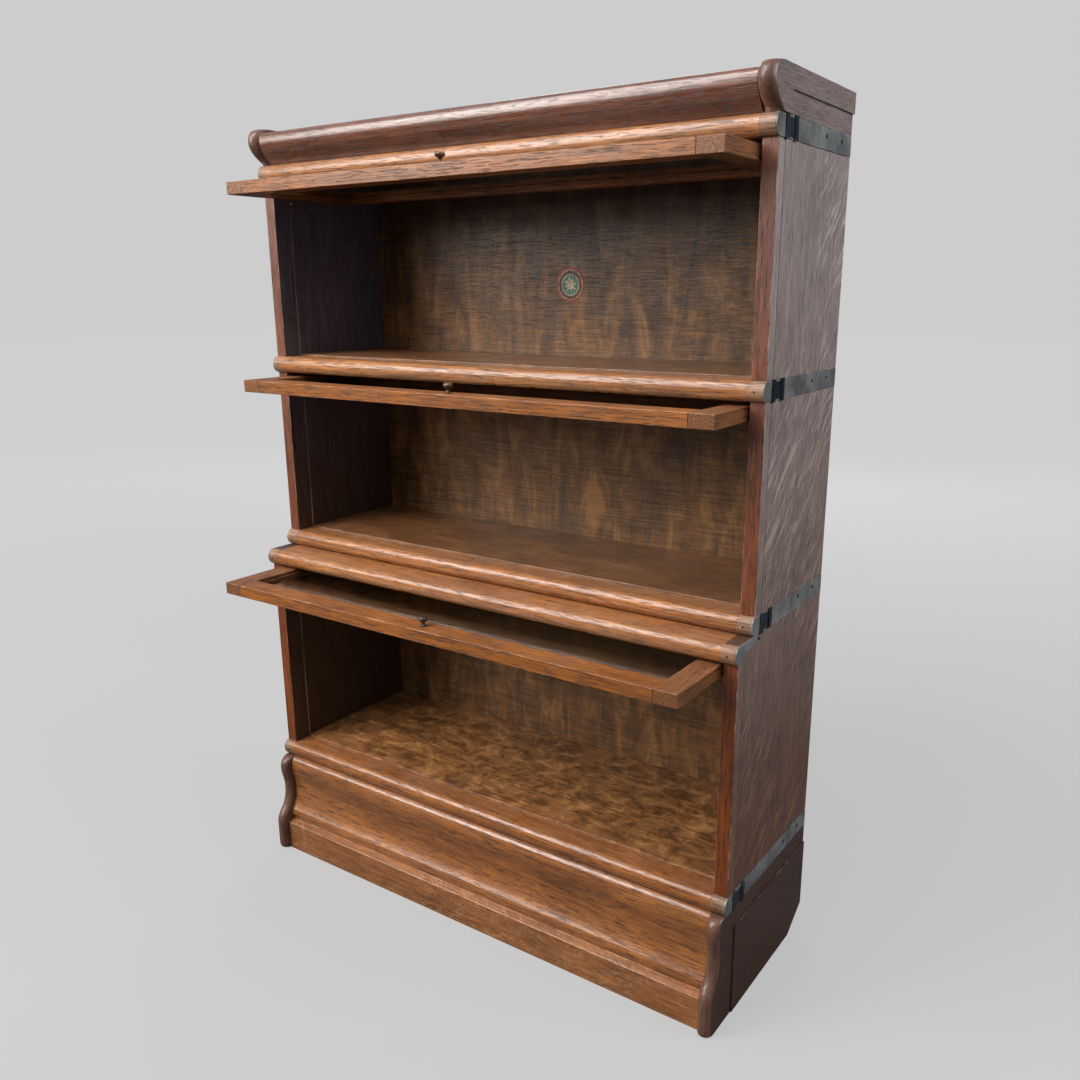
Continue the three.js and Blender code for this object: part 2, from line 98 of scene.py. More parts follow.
class Graph:
    """A node tree that is built one node at a time."""

    def __init__(self, tree: bpy.types.NodeTree) -> None:
        """Keeps the tree and starts a fresh sheet of nodes."""
        self.tree = tree
        self.count = 0

    def node(self, kind: str, **settings: object) -> bpy.types.Node:
        """Adds a node.

        Args:
            kind: the node's type, without its ShaderNode prefix.
            settings: the node's own properties.

        Returns:
            The new node.
        """
        made = self.tree.nodes.new(f"ShaderNode{kind}")
        made.location = (230 * (self.count % 10), -280 * (self.count // 10))
        self.count += 1
        for name, value in settings.items():
            setattr(made, name, value)
        return made

    def feed(self, socket: Socket, value: object) -> None:
        """Links a socket to another, or sets its plain value.

        Args:
            socket: the input socket.
            value: an output socket, a number, a vector or a colour.
        """
        if isinstance(value, bpy.types.NodeSocket):
            self.tree.links.new(value, socket)
        elif socket.type == "RGBA":
            socket.default_value = (*value, 1.0)
        else:
            socket.default_value = value

    def maths(self, operation: str, first: object, second: object = 0.0, clamp: bool = False) -> Socket:
        """One sum.

        Args:
            operation: the Math node's operation.
            first: first number or socket.
            second: second number or socket.
            clamp: keeps the answer between 0 and 1.

        Returns:
            The answer's socket.
        """
        made = self.node("Math", operation=operation, use_clamp=clamp)
        self.feed(made.inputs[0], first)
        self.feed(made.inputs[1], second)
        return made.outputs[0]

    def plus(self, first: object, second: object, clamp: bool = False) -> Socket:
        """The sum of two numbers or sockets."""
        return self.maths("ADD", first, second, clamp)

    def minus(self, first: object, second: object, clamp: bool = False) -> Socket:
        """The first number or socket less the second."""
        return self.maths("SUBTRACT", first, second, clamp)

    def times(self, first: object, second: object, clamp: bool = False) -> Socket:
        """The product of two numbers or sockets."""
        return self.maths("MULTIPLY", first, second, clamp)

    def axes(self, vector: Socket) -> tuple[Socket, ...]:
        """The vector's three parts."""
        made = self.node("SeparateXYZ")
        self.feed(made.inputs[0], vector)
        return tuple(made.outputs)

    def attribute(self, name: str) -> Socket:
        """A value that the piece's corners carry."""
        return self.node("Attribute", attribute_name=name).outputs["Fac"]

    def stretched(self, vector: Socket, factors: tuple[float, float, float]) -> Socket:
        """The vector with each axis multiplied by its own factor."""
        made = self.node("VectorMath", operation="MULTIPLY")
        self.feed(made.inputs[0], vector)
        made.inputs[1].default_value = factors
        return made.outputs[0]

    def noise(
        self, vector: Socket, scale: float, detail: float = 2.0, rough: float = 0.5, swirl: float = 0.0
    ) -> Socket:
        """A cloud of values round one half.

        Args:
            vector: where the cloud is read.
            scale: how many lumps fit in a metre.
            detail: how many finer layers lie on the first.
            rough: how strong the finer layers are.
            swirl: how much the cloud is twisted.

        Returns:
            The value's socket.
        """
        made = self.node("TexNoise")
        self.feed(made.inputs["Vector"], vector)
        made.inputs["Scale"].default_value = scale
        made.inputs["Detail"].default_value = detail
        made.inputs["Roughness"].default_value = rough
        made.inputs["Distortion"].default_value = swirl
        return made.outputs[0]

    def step(self, value: object, low: object, high: object) -> Socket:
        """A soft step from 0 below the low value to 1 above the high one."""
        made = self.node("MapRange", interpolation_type="SMOOTHSTEP")
        self.feed(made.inputs["Value"], value)
        self.feed(made.inputs["From Min"], low)
        self.feed(made.inputs["From Max"], high)
        return made.outputs[0]

    def mix(self, factor: object, first: object, second: object, blend: str = "MIX") -> Socket:
        """Two colours blended.

        Args:
            factor: share of the second colour.
            first: first colour or socket.
            second: second colour or socket.
            blend: the Mix node's blend type.

        Returns:
            The colour's socket.
        """
        made = self.node("Mix", data_type="RGBA", blend_type=blend)
        self.feed(made.inputs[0], factor)
        self.feed(made.inputs[6], first)
        self.feed(made.inputs[7], second)
        return made.outputs[2]

    def bump(self, shader: bpy.types.Node, height: Socket, strength: float, depth: float) -> None:
        """Roughens a shader's surface.

        Args:
            shader: the shader.
            height: the relief.
            strength: how strongly it shows.
            depth: how deep it is.
        """
        made = self.node("Bump")
        made.inputs["Strength"].default_value = strength
        made.inputs["Distance"].default_value = depth
        self.feed(made.inputs["Height"], height)
        self.feed(shader.inputs["Normal"], made.outputs[0])

    def split_rays(self, kind: str, usual: Socket, special: Socket, surface: Socket) -> None:
        """Shows one kind of ray a shader of its own.

        Args:
            kind: the Light Path node's name for the ray.
            usual: what every other ray meets.
            special: what this kind meets.
            surface: the output that both go to.
        """
        ray = self.node("LightPath")
        both = self.node("MixShader")
        for socket, value in zip(both.inputs, (ray.outputs[kind], usual, special)):
            self.feed(socket, value)
        self.feed(surface, both.outputs[0])


class Effect:
    """A shader node group, built once and placed in every finish that uses it."""

    name = ""
    inputs: dict[str, tuple[str, object]] = {}
    outputs: dict[str, str] = {}

    def wire(self, graph: Graph, given: dict[str, Socket]) -> dict[str, Socket]:
        """Builds the group's inside.

        Args:
            graph: the group's own tree.
            given: the group's inputs by name.

        Returns:
            What each output shows, by name.
        """
        raise NotImplementedError

    def tree(self) -> bpy.types.NodeTree:
        """The group's tree, made at its first use."""
        found = bpy.data.node_groups.get(self.name)
        if found is not None:
            return found
        made = bpy.data.node_groups.new(self.name, "ShaderNodeTree")
        for name, (kind, value) in self.inputs.items():
            socket = made.interface.new_socket(name, in_out="INPUT", socket_type=f"NodeSocket{kind}")
            if value is not None:
                socket.default_value = value
        for name, kind in self.outputs.items():
            made.interface.new_socket(name, in_out="OUTPUT", socket_type=f"NodeSocket{kind}")
        graph = Graph(made)
        entry = made.nodes.new("NodeGroupInput")
        leave = made.nodes.new("NodeGroupOutput")
        shown = self.wire(graph, {name: entry.outputs[name] for name in self.inputs})
        for name, socket in shown.items():
            made.links.new(socket, leave.inputs[name])
        return made

    def place(self, graph: Graph, **values: object) -> dict[str, Socket]:
        """Places the group in a material.

        Args:
            graph: the material's tree.
            values: a socket or plain value for each input that isn't left at its default.

        Returns:
            The group's outputs by name.
        """
        made = graph.node("Group", node_tree=self.tree())
        for name, value in values.items():
            graph.feed(made.inputs[name], value)
        return {name: made.outputs[name] for name in self.outputs}


class WoodGrain(Effect):
    """Open-pored oak whose grain runs along the vector's X axis."""

    name = "wood grain"
    inputs = {
        "Vector": ("Vector", None),
        "Dark": ("Color", None),
        "Light": ("Color", None),
        "Pores": ("Float", 0.4),
        "Figure": ("Float", 0.3),
        "Mottle": ("Float", 0.3),
    }
    outputs = {"Colour": "Color", "Height": "Float", "Open": "Float"}

    def wire(self, graph: Graph, given: dict[str, Socket]) -> dict[str, Socket]:
        """Builds long streaks, short dark pores, arched growth rings and slow changes of tone."""
        bend = graph.node("TexNoise")
        graph.feed(bend.inputs["Vector"], given["Vector"])
        bend.inputs["Scale"].default_value = 4.0
        bend.inputs["Detail"].default_value = 1.0
        wavy = graph.node("VectorMath", operation="MULTIPLY_ADD")
        graph.feed(wavy.inputs[0], bend.outputs[1])
        wavy.inputs[1].default_value = (0.0, 0.012, 0.012)
        graph.feed(wavy.inputs[2], given["Vector"])
        line = wavy.outputs[0]

        streak = graph.noise(graph.stretched(line, (1.0, 60.0, 60.0)), 9.0, 7.0, 0.8)
        pore = graph.step(graph.noise(graph.stretched(line, (1.0, 16.0, 16.0)), 42.0, 2.5, 0.6), 0.54, 0.64)
        ring = graph.noise(graph.stretched(line, (1.0, 8.0, 8.0)), 2.2, 1.5, 0.45)
        arch = graph.maths("SINE", graph.times(ring, 80.0))
        arch = graph.step(arch, -1.0, 1.0)
        cloud = graph.noise(graph.stretched(given["Vector"], (1.0, 1.8, 1.8)), 6.0, 4.0, 0.6)

        tone = graph.step(streak, 0.28, 0.72)
        arched = graph.times(graph.minus(arch, 0.5), given["Figure"])
        tone = graph.plus(tone, arched)
        shift = graph.times(graph.minus(cloud, 0.5), 2.6)
        tone = graph.plus(tone, graph.times(shift, given["Mottle"]), clamp=True)
        colour = graph.mix(tone, given["Dark"], given["Light"])
        open_pore = graph.times(pore, given["Pores"])
        colour = graph.mix(open_pore, colour, graph.mix(0.75, colour, PORE_SHADOW))
        height = graph.minus(graph.times(streak, 0.5), open_pore)
        return {"Colour": colour, "Height": height, "Open": open_pore}


class RayFleck(Effect):
    """The pale broken ribbons that cross the grain of quarter-sawn oak."""

    name = "ray fleck"
    inputs = {"Vector": ("Vector", None), "Lean": ("Float", 0.9), "Cover": ("Float", 0.5)}
    outputs = {"Mask": "Float"}

    def wire(self, graph: Graph, given: dict[str, Socket]) -> dict[str, Socket]:
        """Builds slanting slivers, gathered in patches."""
        turned = graph.node("VectorRotate", rotation_type="X_AXIS")
        flat = graph.node("VectorRotate", rotation_type="Z_AXIS")
        graph.feed(flat.inputs["Vector"], given["Vector"])
        graph.feed(flat.inputs["Angle"], given["Lean"])
        graph.feed(turned.inputs["Vector"], flat.outputs[0])
        turned.inputs["Angle"].default_value = 0.6
        sliver = graph.noise(graph.stretched(turned.outputs[0], (1.0, 9.0, 9.0)), 15.0, 2.0, 0.5, 1.1)
        patch = graph.noise(given["Vector"], 5.0, 2.0, 0.5)
        cover = graph.times(given["Cover"], 0.14)
        level = graph.minus(0.64, cover)
        mask = graph.step(sliver, level, graph.plus(level, 0.06))
        gathered = graph.step(patch, 0.36, 0.56)
        return {"Mask": graph.times(mask, gathered)}


class Blotch(Effect):
    """The clouded figure of burr and of stained panels, drawn out by how its vector is stretched."""

    name = "blotch"
    inputs = {"Vector": ("Vector", None), "Amount": ("Float", 0.5)}
    outputs = {"Deep": "Float", "Pale": "Float"}

    def wire(self, graph: Graph, given: dict[str, Socket]) -> dict[str, Socket]:
        """Splits one swirling cloud into its deepest and its palest parts."""
        cloud = graph.noise(given["Vector"], 11.0, 6.0, 0.66, 0.6)
        deep = graph.minus(1.0, graph.step(cloud, 0.36, 0.52))
        pale = graph.step(cloud, 0.5, 0.68)
        return {
            "Deep": graph.times(deep, given["Amount"]),
            "Pale": graph.times(pale, given["Amount"]),
        }


class EdgeWear(Effect):
    """Varnish rubbed off the corners that the wear attribute marks."""

    name = "edge wear"
    inputs = {"Vector": ("Vector", None), "Edge": ("Float", 0.0), "Amount": ("Float", 0.5)}
    outputs = {"Mask": "Float"}

    def wire(self, graph: Graph, given: dict[str, Socket]) -> dict[str, Socket]:
        """Breaks the marked corners into rubbed and whole stretches."""
        patch = graph.noise(given["Vector"], 34.0, 5.0, 0.68)
        level = graph.minus(0.72, graph.times(given["Amount"], 0.42))
        rubbed = graph.step(patch, level, graph.plus(level, 0.16))
        return {"Mask": graph.times(rubbed, given["Edge"], clamp=True)}


class Grime(Effect):
    """Old polish and dirt gathered in soft patches and small specks."""

    name = "grime"
    inputs = {"Vector": ("Vector", None), "Amount": ("Float", 0.3)}
    outputs = {"Mask": "Float", "Shine": "Float"}

    def wire(self, graph: Graph, given: dict[str, Socket]) -> dict[str, Socket]:
        """Lays specks over slow patches, and a slow change of shine."""
        patch = graph.step(graph.noise(given["Vector"], 9.0, 5.0, 0.62), 0.45, 0.75)
        speck = graph.step(graph.noise(given["Vector"], 240.0, 2.0, 0.6), 0.68, 0.76)
        both = graph.plus(patch, graph.times(speck, 0.8), clamp=True)
        shine = graph.noise(given["Vector"], 21.0, 3.0, 0.55)
        return {"Mask": graph.times(both, given["Amount"]), "Shine": shine}


class Dust(Effect):
    """A thin film of dust on whatever faces up."""

    name = "dust"
    inputs = {"Vector": ("Vector", None), "Facing": ("Vector", None), "Amount": ("Float", 0.2)}
    outputs = {"Mask": "Float"}

    def wire(self, graph: Graph, given: dict[str, Socket]) -> dict[str, Socket]:
        """Reads how far the surface faces up and breaks the film into patches."""
        upward = graph.step(graph.axes(given["Facing"])[2], 0.55, 0.98)
        patch = graph.step(graph.noise(given["Vector"], 14.0, 5.0, 0.7), 0.25, 0.75)
        film = graph.times(upward, patch)
        return {"Mask": graph.times(film, given["Amount"])}


# ---- finishes ----


class Grain(Enum):
    """The way a board's grain runs, as the turn that brings it to X."""

    ALONG_X = (0.0, 0.0, 0.0)
    ALONG_Y = (0.0, 0.0, -math.pi / 2)
    ALONG_Z = (0.0, math.pi / 2, 0.0)


@dataclass(frozen=True)
class Finish:
    """What every finish shares: a name, and a material that is made once."""

    name: str

    def dress(self, graph: Graph, shader: bpy.types.Node) -> None:
        """Wires the finish into its material's Principled shader."""
        raise NotImplementedError

    def material(self) -> bpy.types.Material:
        """The finish's material, made at its first use."""
        title = f"{self.name}_finish"
        found = bpy.data.materials.get(title)
        if found is not None:
            return found
        made = bpy.data.materials.new(title)
        made.use_nodes = True
        shader = made.node_tree.nodes["Principled BSDF"]
        shader.location = (2600, 0)
        made.node_tree.nodes["Material Output"].location = (2900, 0)
        self.dress(Graph(made.node_tree), shader)
        return made


@dataclass(frozen=True)
class Oak(Finish):
    """Stained and varnished oak.

    dark, light: the grain's two tones. worn: bare wood at rubbed edges. grain: which way it runs.
    pores, figure, mottle: strength of the pores, growth rings and patches.
    fleck, fleck_lean: strength and slant of the ray fleck. wear: how far the edges are rubbed.
    grime: dirt. dust: dust on top. rough: roughness of the varnish. coat: a clear top coat.
    blotch, blotch_stretch: strength of a clouded figure, and how it is drawn out.
    shade tint and its heights: painted light and shade, a tint multiplied in that fades with height, and the
    heights where it is full and gone.
    """

    dark: Colour = (0.05, 0.02, 0.01)
    light: Colour = (0.3, 0.12, 0.05)
    worn: Colour = paint(205, 165, 135)
    grain: Grain = Grain.ALONG_X
    pores: float = 0.6
    figure: float = 0.35
    mottle: float = 0.35
    fleck: float = 0.0
    fleck_lean: float = 0.9
    wear: float = 0.5
    grime: float = 0.25
    dust: float = 0.0
    rough: float = 0.4
    coat: float = 0.15
    blotch: float = 0.0
    blotch_stretch: tuple[float, float, float] = (1.0, 1.0, 1.0)
    # Painted light and shade: a tint that fades with height.
    painted_shade_tint: Colour | None = None
    painted_shade_heights: Range = (0.2, 1.1)

    def dress(self, graph: Graph, shader: bpy.types.Node) -> None:
        """Wires grain, fleck, patches, wear and dust into the shader."""
        place = graph.node("TexCoord")
        turn = graph.node("Mapping")
        graph.feed(turn.inputs["Vector"], place.outputs["Object"])
        turn.inputs["Rotation"].default_value = self.grain.value
        along, here = turn.outputs[0], place.outputs["Object"]
        grain = WoodGrain().place(
            graph, Vector=along, Dark=self.dark, Light=self.light, Pores=self.pores, Figure=self.figure,
            Mottle=self.mottle,
        )
        colour = grain["Colour"]
        if self.fleck:
            mask = RayFleck().place(graph, Vector=along, Lean=self.fleck_lean, Cover=0.6)["Mask"]
            pale = graph.mix(0.45, self.light, self.worn)
            colour = graph.mix(graph.times(mask, self.fleck), colour, pale)
        if self.blotch:
            drawn_out = graph.stretched(here, self.blotch_stretch)
            cloud = Blotch().place(graph, Vector=drawn_out, Amount=self.blotch)
            colour = graph.mix(cloud["Deep"], colour, graph.mix(0.7, colour, self.dark, "MULTIPLY"))
            colour = graph.mix(cloud["Pale"], colour, graph.mix(0.8, colour, self.light, "SCREEN"))
        # Painted light and shade: the tint is multiplied in fully at the first height and fades out by the
        # second.
        if self.painted_shade_tint:
            low = graph.minus(1.0, graph.step(graph.axes(here)[2], *self.painted_shade_heights))
            colour = graph.mix(low, colour, self.painted_shade_tint, "MULTIPLY")
        dirt = Grime().place(graph, Vector=here, Amount=self.grime)
        colour = graph.mix(dirt["Mask"], colour, graph.mix(0.8, colour, OLD_POLISH))
        edge = graph.attribute("wear")
        rubbed = EdgeWear().place(graph, Vector=here, Edge=edge, Amount=self.wear)["Mask"]
        colour = graph.mix(graph.times(rubbed, 0.5), colour, self.worn)
        colour = graph.mix(graph.attribute("joint"), colour, JOINT_SHADOW)
        if self.dust:
            film = Dust().place(graph, Vector=here, Facing=place.outputs["Normal"], Amount=self.dust)["Mask"]
            colour = graph.mix(film, colour, HOUSE_DUST)
        graph.feed(shader.inputs["Base Color"], colour)
        sheen = graph.times(graph.minus(dirt["Shine"], 0.5), 0.35)
        rough = graph.plus(sheen, self.rough)
        rough = graph.plus(rough, graph.times(grain["Open"], 0.25))
        rough = graph.plus(rough, graph.times(rubbed, 0.15), clamp=True)
        graph.feed(shader.inputs["Roughness"], rough)
        shader.inputs["Coat Weight"].default_value = self.coat
        shader.inputs["Coat Roughness"].default_value = 0.22
        graph.bump(shader, grain["Height"], 0.6, 0.6 * MM)


@dataclass(frozen=True)
class Steel(Finish):
    """Dull blackened or lacquered metal with rubbed edges and rust."""

    base: Colour = paint(138, 139, 137)
    bare: Colour = paint(170, 168, 160)
    rust: Colour = paint(74, 50, 36)
    rough: float = 0.42
    wear: float = 0.6
    metal: float = 0.3
    stain: float = 0.3

    def dress(self, graph: Graph, shader: bpy.types.Node) -> None:
        """Wires tarnish, scratches, rust spots and bare corners into the shader."""
        place = graph.node("TexCoord")
        here = place.outputs["Object"]
        cloud = graph.noise(here, 26.0, 6.0, 0.65)
        scratch = graph.noise(graph.stretched(here, (1.0, 3.0, 60.0)), 30.0, 3.0, 0.6)
        darker = graph.mix(0.6, self.base, TARNISH)
        colour = graph.mix(graph.step(cloud, 0.3, 0.7), darker, self.base)
        colour = graph.mix(graph.times(graph.step(scratch, 0.6, 0.75), 0.3), colour, self.bare)
        spot = graph.step(graph.noise(here, 90.0, 5.0, 0.7), 0.58, 0.68)
        colour = graph.mix(graph.times(spot, self.stain), colour, self.rust)
        edge = graph.attribute("wear")
        rubbed = EdgeWear().place(graph, Vector=here, Edge=edge, Amount=self.wear)["Mask"]
        colour = graph.mix(rubbed, colour, self.bare)
        graph.feed(shader.inputs["Base Color"], colour)
        metal = graph.minus(self.metal, graph.times(spot, 0.5), clamp=True)
        graph.feed(shader.inputs["Metallic"], metal)
        rough = graph.plus(self.rough, graph.times(graph.minus(cloud, 0.5), 0.5))
        rough = graph.plus(rough, graph.times(spot, 0.25), clamp=True)
        graph.feed(shader.inputs["Roughness"], rough)
        graph.bump(shader, graph.plus(cloud, scratch), 0.3, 0.3 * MM)


@dataclass(frozen=True)
class Glass(Finish):
    """Old window glass, a little smeared."""

    tint: Colour = paint(188, 194, 186)
    let_through: Colour = paint(214, 218, 212)

    def dress(self, graph: Graph, shader: bpy.types.Node) -> None:
        """Wires clear glass with smears, which lets lamp light through."""
        here = graph.node("TexCoord").outputs["Object"]
        smear = graph.step(graph.noise(graph.stretched(here, (1.0, 2.5, 1.0)), 9.0, 5.0, 0.65), 0.4, 0.75)
        graph.feed(shader.inputs["Base Color"], self.tint)
        graph.feed(shader.inputs["Roughness"], graph.plus(0.03, graph.times(smear, 0.1)))
        shader.inputs["Transmission Weight"].default_value = 1.0
        shader.inputs["IOR"].default_value = 1.46
        graph.bump(shader, graph.noise(here, 16.0, 1.0, 0.4), 0.2, 0.4 * MM)
        clear = graph.node("BsdfTransparent")
        clear.inputs[0].default_value = (*self.let_through, 1.0)
        surface = graph.tree.nodes["Material Output"].inputs["Surface"]
        graph.split_rays("Is Shadow Ray", shader.outputs[0], clear.outputs[0], surface)


@dataclass(frozen=True)
class Transfer(Finish):
    """A round paper transfer: a red ring and a cream ring round a green middle with a plain star."""

    centre: tuple[float, float, float] = (0.0, 0.0, 0.0)
    radius: float = 0.026

    def dress(self, graph: Graph, shader: bpy.types.Node) -> None:
        """Wires rings by distance from the middle, aged by foxing."""
        place = graph.node("TexCoord")
        shift = graph.node("VectorMath", operation="SUBTRACT")
        graph.feed(shift.inputs[0], place.outputs["Object"])
        shift.inputs[1].default_value = self.centre
        across, _, up = graph.axes(graph.stretched(shift.outputs[0], (1 / self.radius,) * 3))
        squares = graph.plus(graph.times(across, across), graph.times(up, up))
        away = graph.maths("SQRT", squares)
        turn = graph.maths("ARCTAN2", up, across)
        petals = graph.maths("SINE", graph.times(turn, 8.0))
        green, cream = paint(70, 132, 116), paint(206, 190, 152)
        red, black = paint(178, 52, 36), paint(44, 34, 28)
        star = graph.plus(0.3, graph.times(petals, 0.12))
        colour = graph.mix(graph.step(graph.minus(away, star), 0.0, 0.04), cream, green)
        for edge, tone in ((0.58, cream), (0.64, black), (0.84, cream), (0.88, red)):
            colour = graph.mix(graph.step(away, edge - 0.01, edge + 0.01), colour, tone)
        ticks = graph.step(graph.maths("SINE", graph.times(turn, 36.0)), 0.2, 0.5)
        ring = graph.minus(graph.step(away, 0.68, 0.7), graph.step(away, 0.79, 0.81))
        colour = graph.mix(graph.times(graph.times(ticks, ring), 0.8), colour, red)
        aged = graph.step(graph.noise(place.outputs["Object"], 260.0, 5.0, 0.75), 0.42, 0.62)
        colour = graph.mix(graph.times(aged, 0.6), colour, paint(60, 42, 30))
        graph.feed(shader.inputs["Base Color"], colour)
        graph.feed(shader.inputs["Roughness"], graph.plus(0.35, graph.times(aged, 0.3)))


@dataclass(frozen=True)
class Floor(Finish):
    """A plain pale studio floor that runs into the grey of the room behind it."""

    tone: Colour = (0.11, 0.11, 0.11)
    near_glow: float = 0.445
    far_glow: float = 0.585

    def dress(self, graph: Graph, shader: bpy.types.Node) -> None:
        """Wires a faint mottle and an even paleness that only the eye sees, into a matt surface."""
        here = graph.node("TexCoord").outputs["Object"]
        cloud = graph.noise(here, 1.5, 3.0, 0.5)
        darker = tuple(c * 0.97 for c in self.tone)
        graph.feed(shader.inputs["Base Color"], graph.mix(cloud, darker, self.tone))
        shader.inputs["Roughness"].default_value = 0.95
        shader.inputs["Specular IOR Level"].default_value = 0.0
        span = graph.node("VectorMath", operation="LENGTH")
        graph.feed(span.inputs[0], here)
        far = graph.step(span.outputs["Value"], 0.4, 5.0)
        glow = graph.mix(far, (self.near_glow,) * 3, (self.far_glow,) * 3)
        graph.feed(shader.inputs["Emission Color"], glow)
        graph.feed(shader.inputs["Emission Strength"], graph.node("LightPath").outputs["Is Camera Ray"])


class Finishes:
    """Every finish of the bookcase, by the part that wears it."""

    # Painted light: the tint multiplied in below 0.9 m makes the lower rails darker and warmer as shade,
    # while the upper rails stay paler as if more brightly lit.
    rail = Oak(
        "rail_oak", dark=paint(98, 56, 26), light=paint(198, 130, 72), figure=0.1, pores=0.95, wear=0.6,
        dust=0.1, rough=0.3, coat=0.35, painted_shade_tint=(0.9, 0.79, 0.6), painted_shade_heights=(0.15, 0.9),
    )
    rail_end = Oak(
        "rail_end_oak", dark=paint(96, 64, 44), light=paint(178, 132, 96), worn=paint(216, 200, 186),
        figure=0.1, wear=0.8, mottle=0.7, grime=0.5, dust=0.2,
    )
    moulding = Oak(
        "moulding_oak", dark=paint(90, 46, 18), light=paint(184, 116, 56), figure=0.12, pores=0.9,
        rough=0.28, coat=0.7, dust=0.1,
    )
    cornice = Oak(
        "cornice_oak", dark=paint(62, 31, 19), light=paint(136, 80, 54), figure=0.12, pores=0.9,
        rough=0.28, coat=0.7, dust=0.1,
    )
    skirting = Oak(
        "skirting_oak", dark=paint(92, 52, 26), light=paint(180, 118, 68), figure=0.1, fleck=0.25,
        fleck_lean=0.65, worn=paint(222, 190, 160), rough=0.36, coat=0.3,
    )
    door_rail = Oak(
        "door_rail_oak", dark=paint(84, 42, 13), light=paint(176, 104, 36), figure=0.1, pores=0.95,
        dust=0.05, coat=0.1,
    )
    stile = Oak(
        "door_stile_oak", dark=paint(82, 48, 24), light=paint(156, 98, 52), grain=Grain.ALONG_Y,
        figure=0.1, pores=0.9, dust=0.05, coat=0.1,
    )
    # Painted light: the pale grey-mauve tones stand in for sky light on the upper sides, and the red-brown
    # tint multiplied in lower down is painted shade.
    side_face = Oak(
        "side_veneer", dark=paint(116, 100, 95), light=paint(182, 164, 157), worn=paint(232, 216, 206),
        grain=Grain.ALONG_Z, figure=0.1, mottle=0.2, fleck=0.7, fleck_lean=-0.75, coat=0.3,
        painted_shade_tint=(0.38, 0.2, 0.11), painted_shade_heights=(0.15, 1.08),
    )
    # Painted light, as on the side veneer: pale grey-mauve for sky light up high, and red-brown painted
    # shade lower down.
    side_lipping = Oak(
        "side_lipping_oak", dark=paint(124, 110, 104), light=paint(190, 174, 168),
        worn=paint(232, 216, 206), grain=Grain.ALONG_Z, figure=0.05, mottle=0.2, wear=0.6, coat=0.3,
        painted_shade_tint=(0.42, 0.25, 0.15), painted_shade_heights=(0.15, 1.08),
    )
    # Painted shade: the tint multiplied in below 1 m makes the front edges darker and warmer towards the
    # floor, like the shade on the sides.
    side_edge = Oak(
        "side_edge_oak", dark=paint(74, 40, 30), light=paint(146, 90, 68), worn=paint(208, 166, 142),
        pores=0.8, grain=Grain.ALONG_Z, figure=0.08, wear=0.6, painted_shade_tint=(1.0, 0.64, 0.14),
        painted_shade_heights=(0.25, 1.0),
    )
    # Painted light: the cool grey-blue tones stand in for sky light inside the shaded case, and the warm
    # tint multiplied in below 1.05 m is painted shade.
    side_inner = Oak(
        "side_inner_oak", dark=paint(64, 63, 74), light=paint(124, 120, 140), grain=Grain.ALONG_Z,
        figure=0.08, wear=0.2, rough=0.38, coat=0.4, painted_shade_tint=(0.6, 0.32, 0.13), painted_shade_heights=(0.5, 1.05),
    )
    cap = Oak(
        "cap_oak", dark=paint(70, 44, 34), light=paint(128, 88, 70), worn=paint(206, 178, 160),
        grain=Grain.ALONG_Z, figure=0.1, wear=0.6, mottle=0.5, grime=0.4, coat=0.3,
    )
    cap_side = Oak(
        "cap_side_oak", dark=paint(104, 86, 80), light=paint(158, 138, 130), worn=paint(206, 190, 178),
        grain=Grain.ALONG_Y, figure=0.08, mottle=0.3, wear=0.6, coat=0.3,
    )
    plinth_side = Oak(
        "plinth_side_oak", dark=paint(46, 26, 17), light=paint(84, 52, 34), grain=Grain.ALONG_Y,
        figure=0.1, mottle=0.2, rough=0.38, coat=0.3,
    )
    # Painted shadow: the bluish tint multiplied in above 0.93 m darkens the top of the top back, where the
    # cornice and the open door shade it.
    back = Oak(
        "back_veneer", dark=paint(54, 34, 21), light=paint(154, 105, 58), figure=0.1, mottle=0.25,
        pores=0.45, rough=0.45, coat=0.1, blotch=0.7, blotch_stretch=(3.2, 1.0, 0.9),
        painted_shade_tint=(0.42, 0.52, 0.78), painted_shade_heights=(1.14, 0.93),
    )
    shelf = Oak(
        "shelf_veneer", dark=paint(72, 44, 27), light=paint(156, 104, 64), figure=0.12, mottle=0.4,
        grime=0.35, rough=0.35, coat=0.3, blotch=0.3, blotch_stretch=(1.2, 2.8, 1.0),
    )
    bottom_shelf = Oak(
        "burr_veneer", dark=paint(88, 52, 26), light=paint(176, 120, 72), mottle=0.3, figure=0.1,
        pores=0.3, grime=0.4, rough=0.42, blotch=0.8, blotch_stretch=(3.0, 4.0, 1.0),
    )
    rear = Oak(
        "rear_oak", dark=paint(60, 42, 30), light=paint(120, 88, 62), figure=0.2, mottle=0.6, grime=0.5,
        rough=0.65,
    )
    rear_panel = Oak(
        "rear_panel_oak", dark=paint(72, 50, 34), light=paint(142, 104, 72), figure=0.3, mottle=0.6,
        grime=0.6, rough=0.7, coat=0.0, blotch=0.25, blotch_stretch=(0.5, 1.0, 1.6),
    )
    band = Steel("band_steel")
    end_plate = Steel("end_plate_steel", base=paint(138, 136, 130), bare=paint(196, 192, 184), rough=0.36)
    clip = Steel(
        "clip_steel", base=paint(40, 50, 58), bare=paint(110, 126, 136), rough=0.3, stain=0.1, metal=0.5,
    )
    screw = Steel("screw_steel", base=paint(44, 42, 40), bare=paint(120, 112, 100))
    pin = Steel(
        "bright_pin", base=paint(214, 210, 200), bare=paint(240, 236, 226), rough=0.25, stain=0.1,
        metal=0.9,
    )
    bronze = Steel("knob_bronze", base=paint(74, 56, 40), bare=paint(160, 128, 90), rough=0.3, stain=0.2)
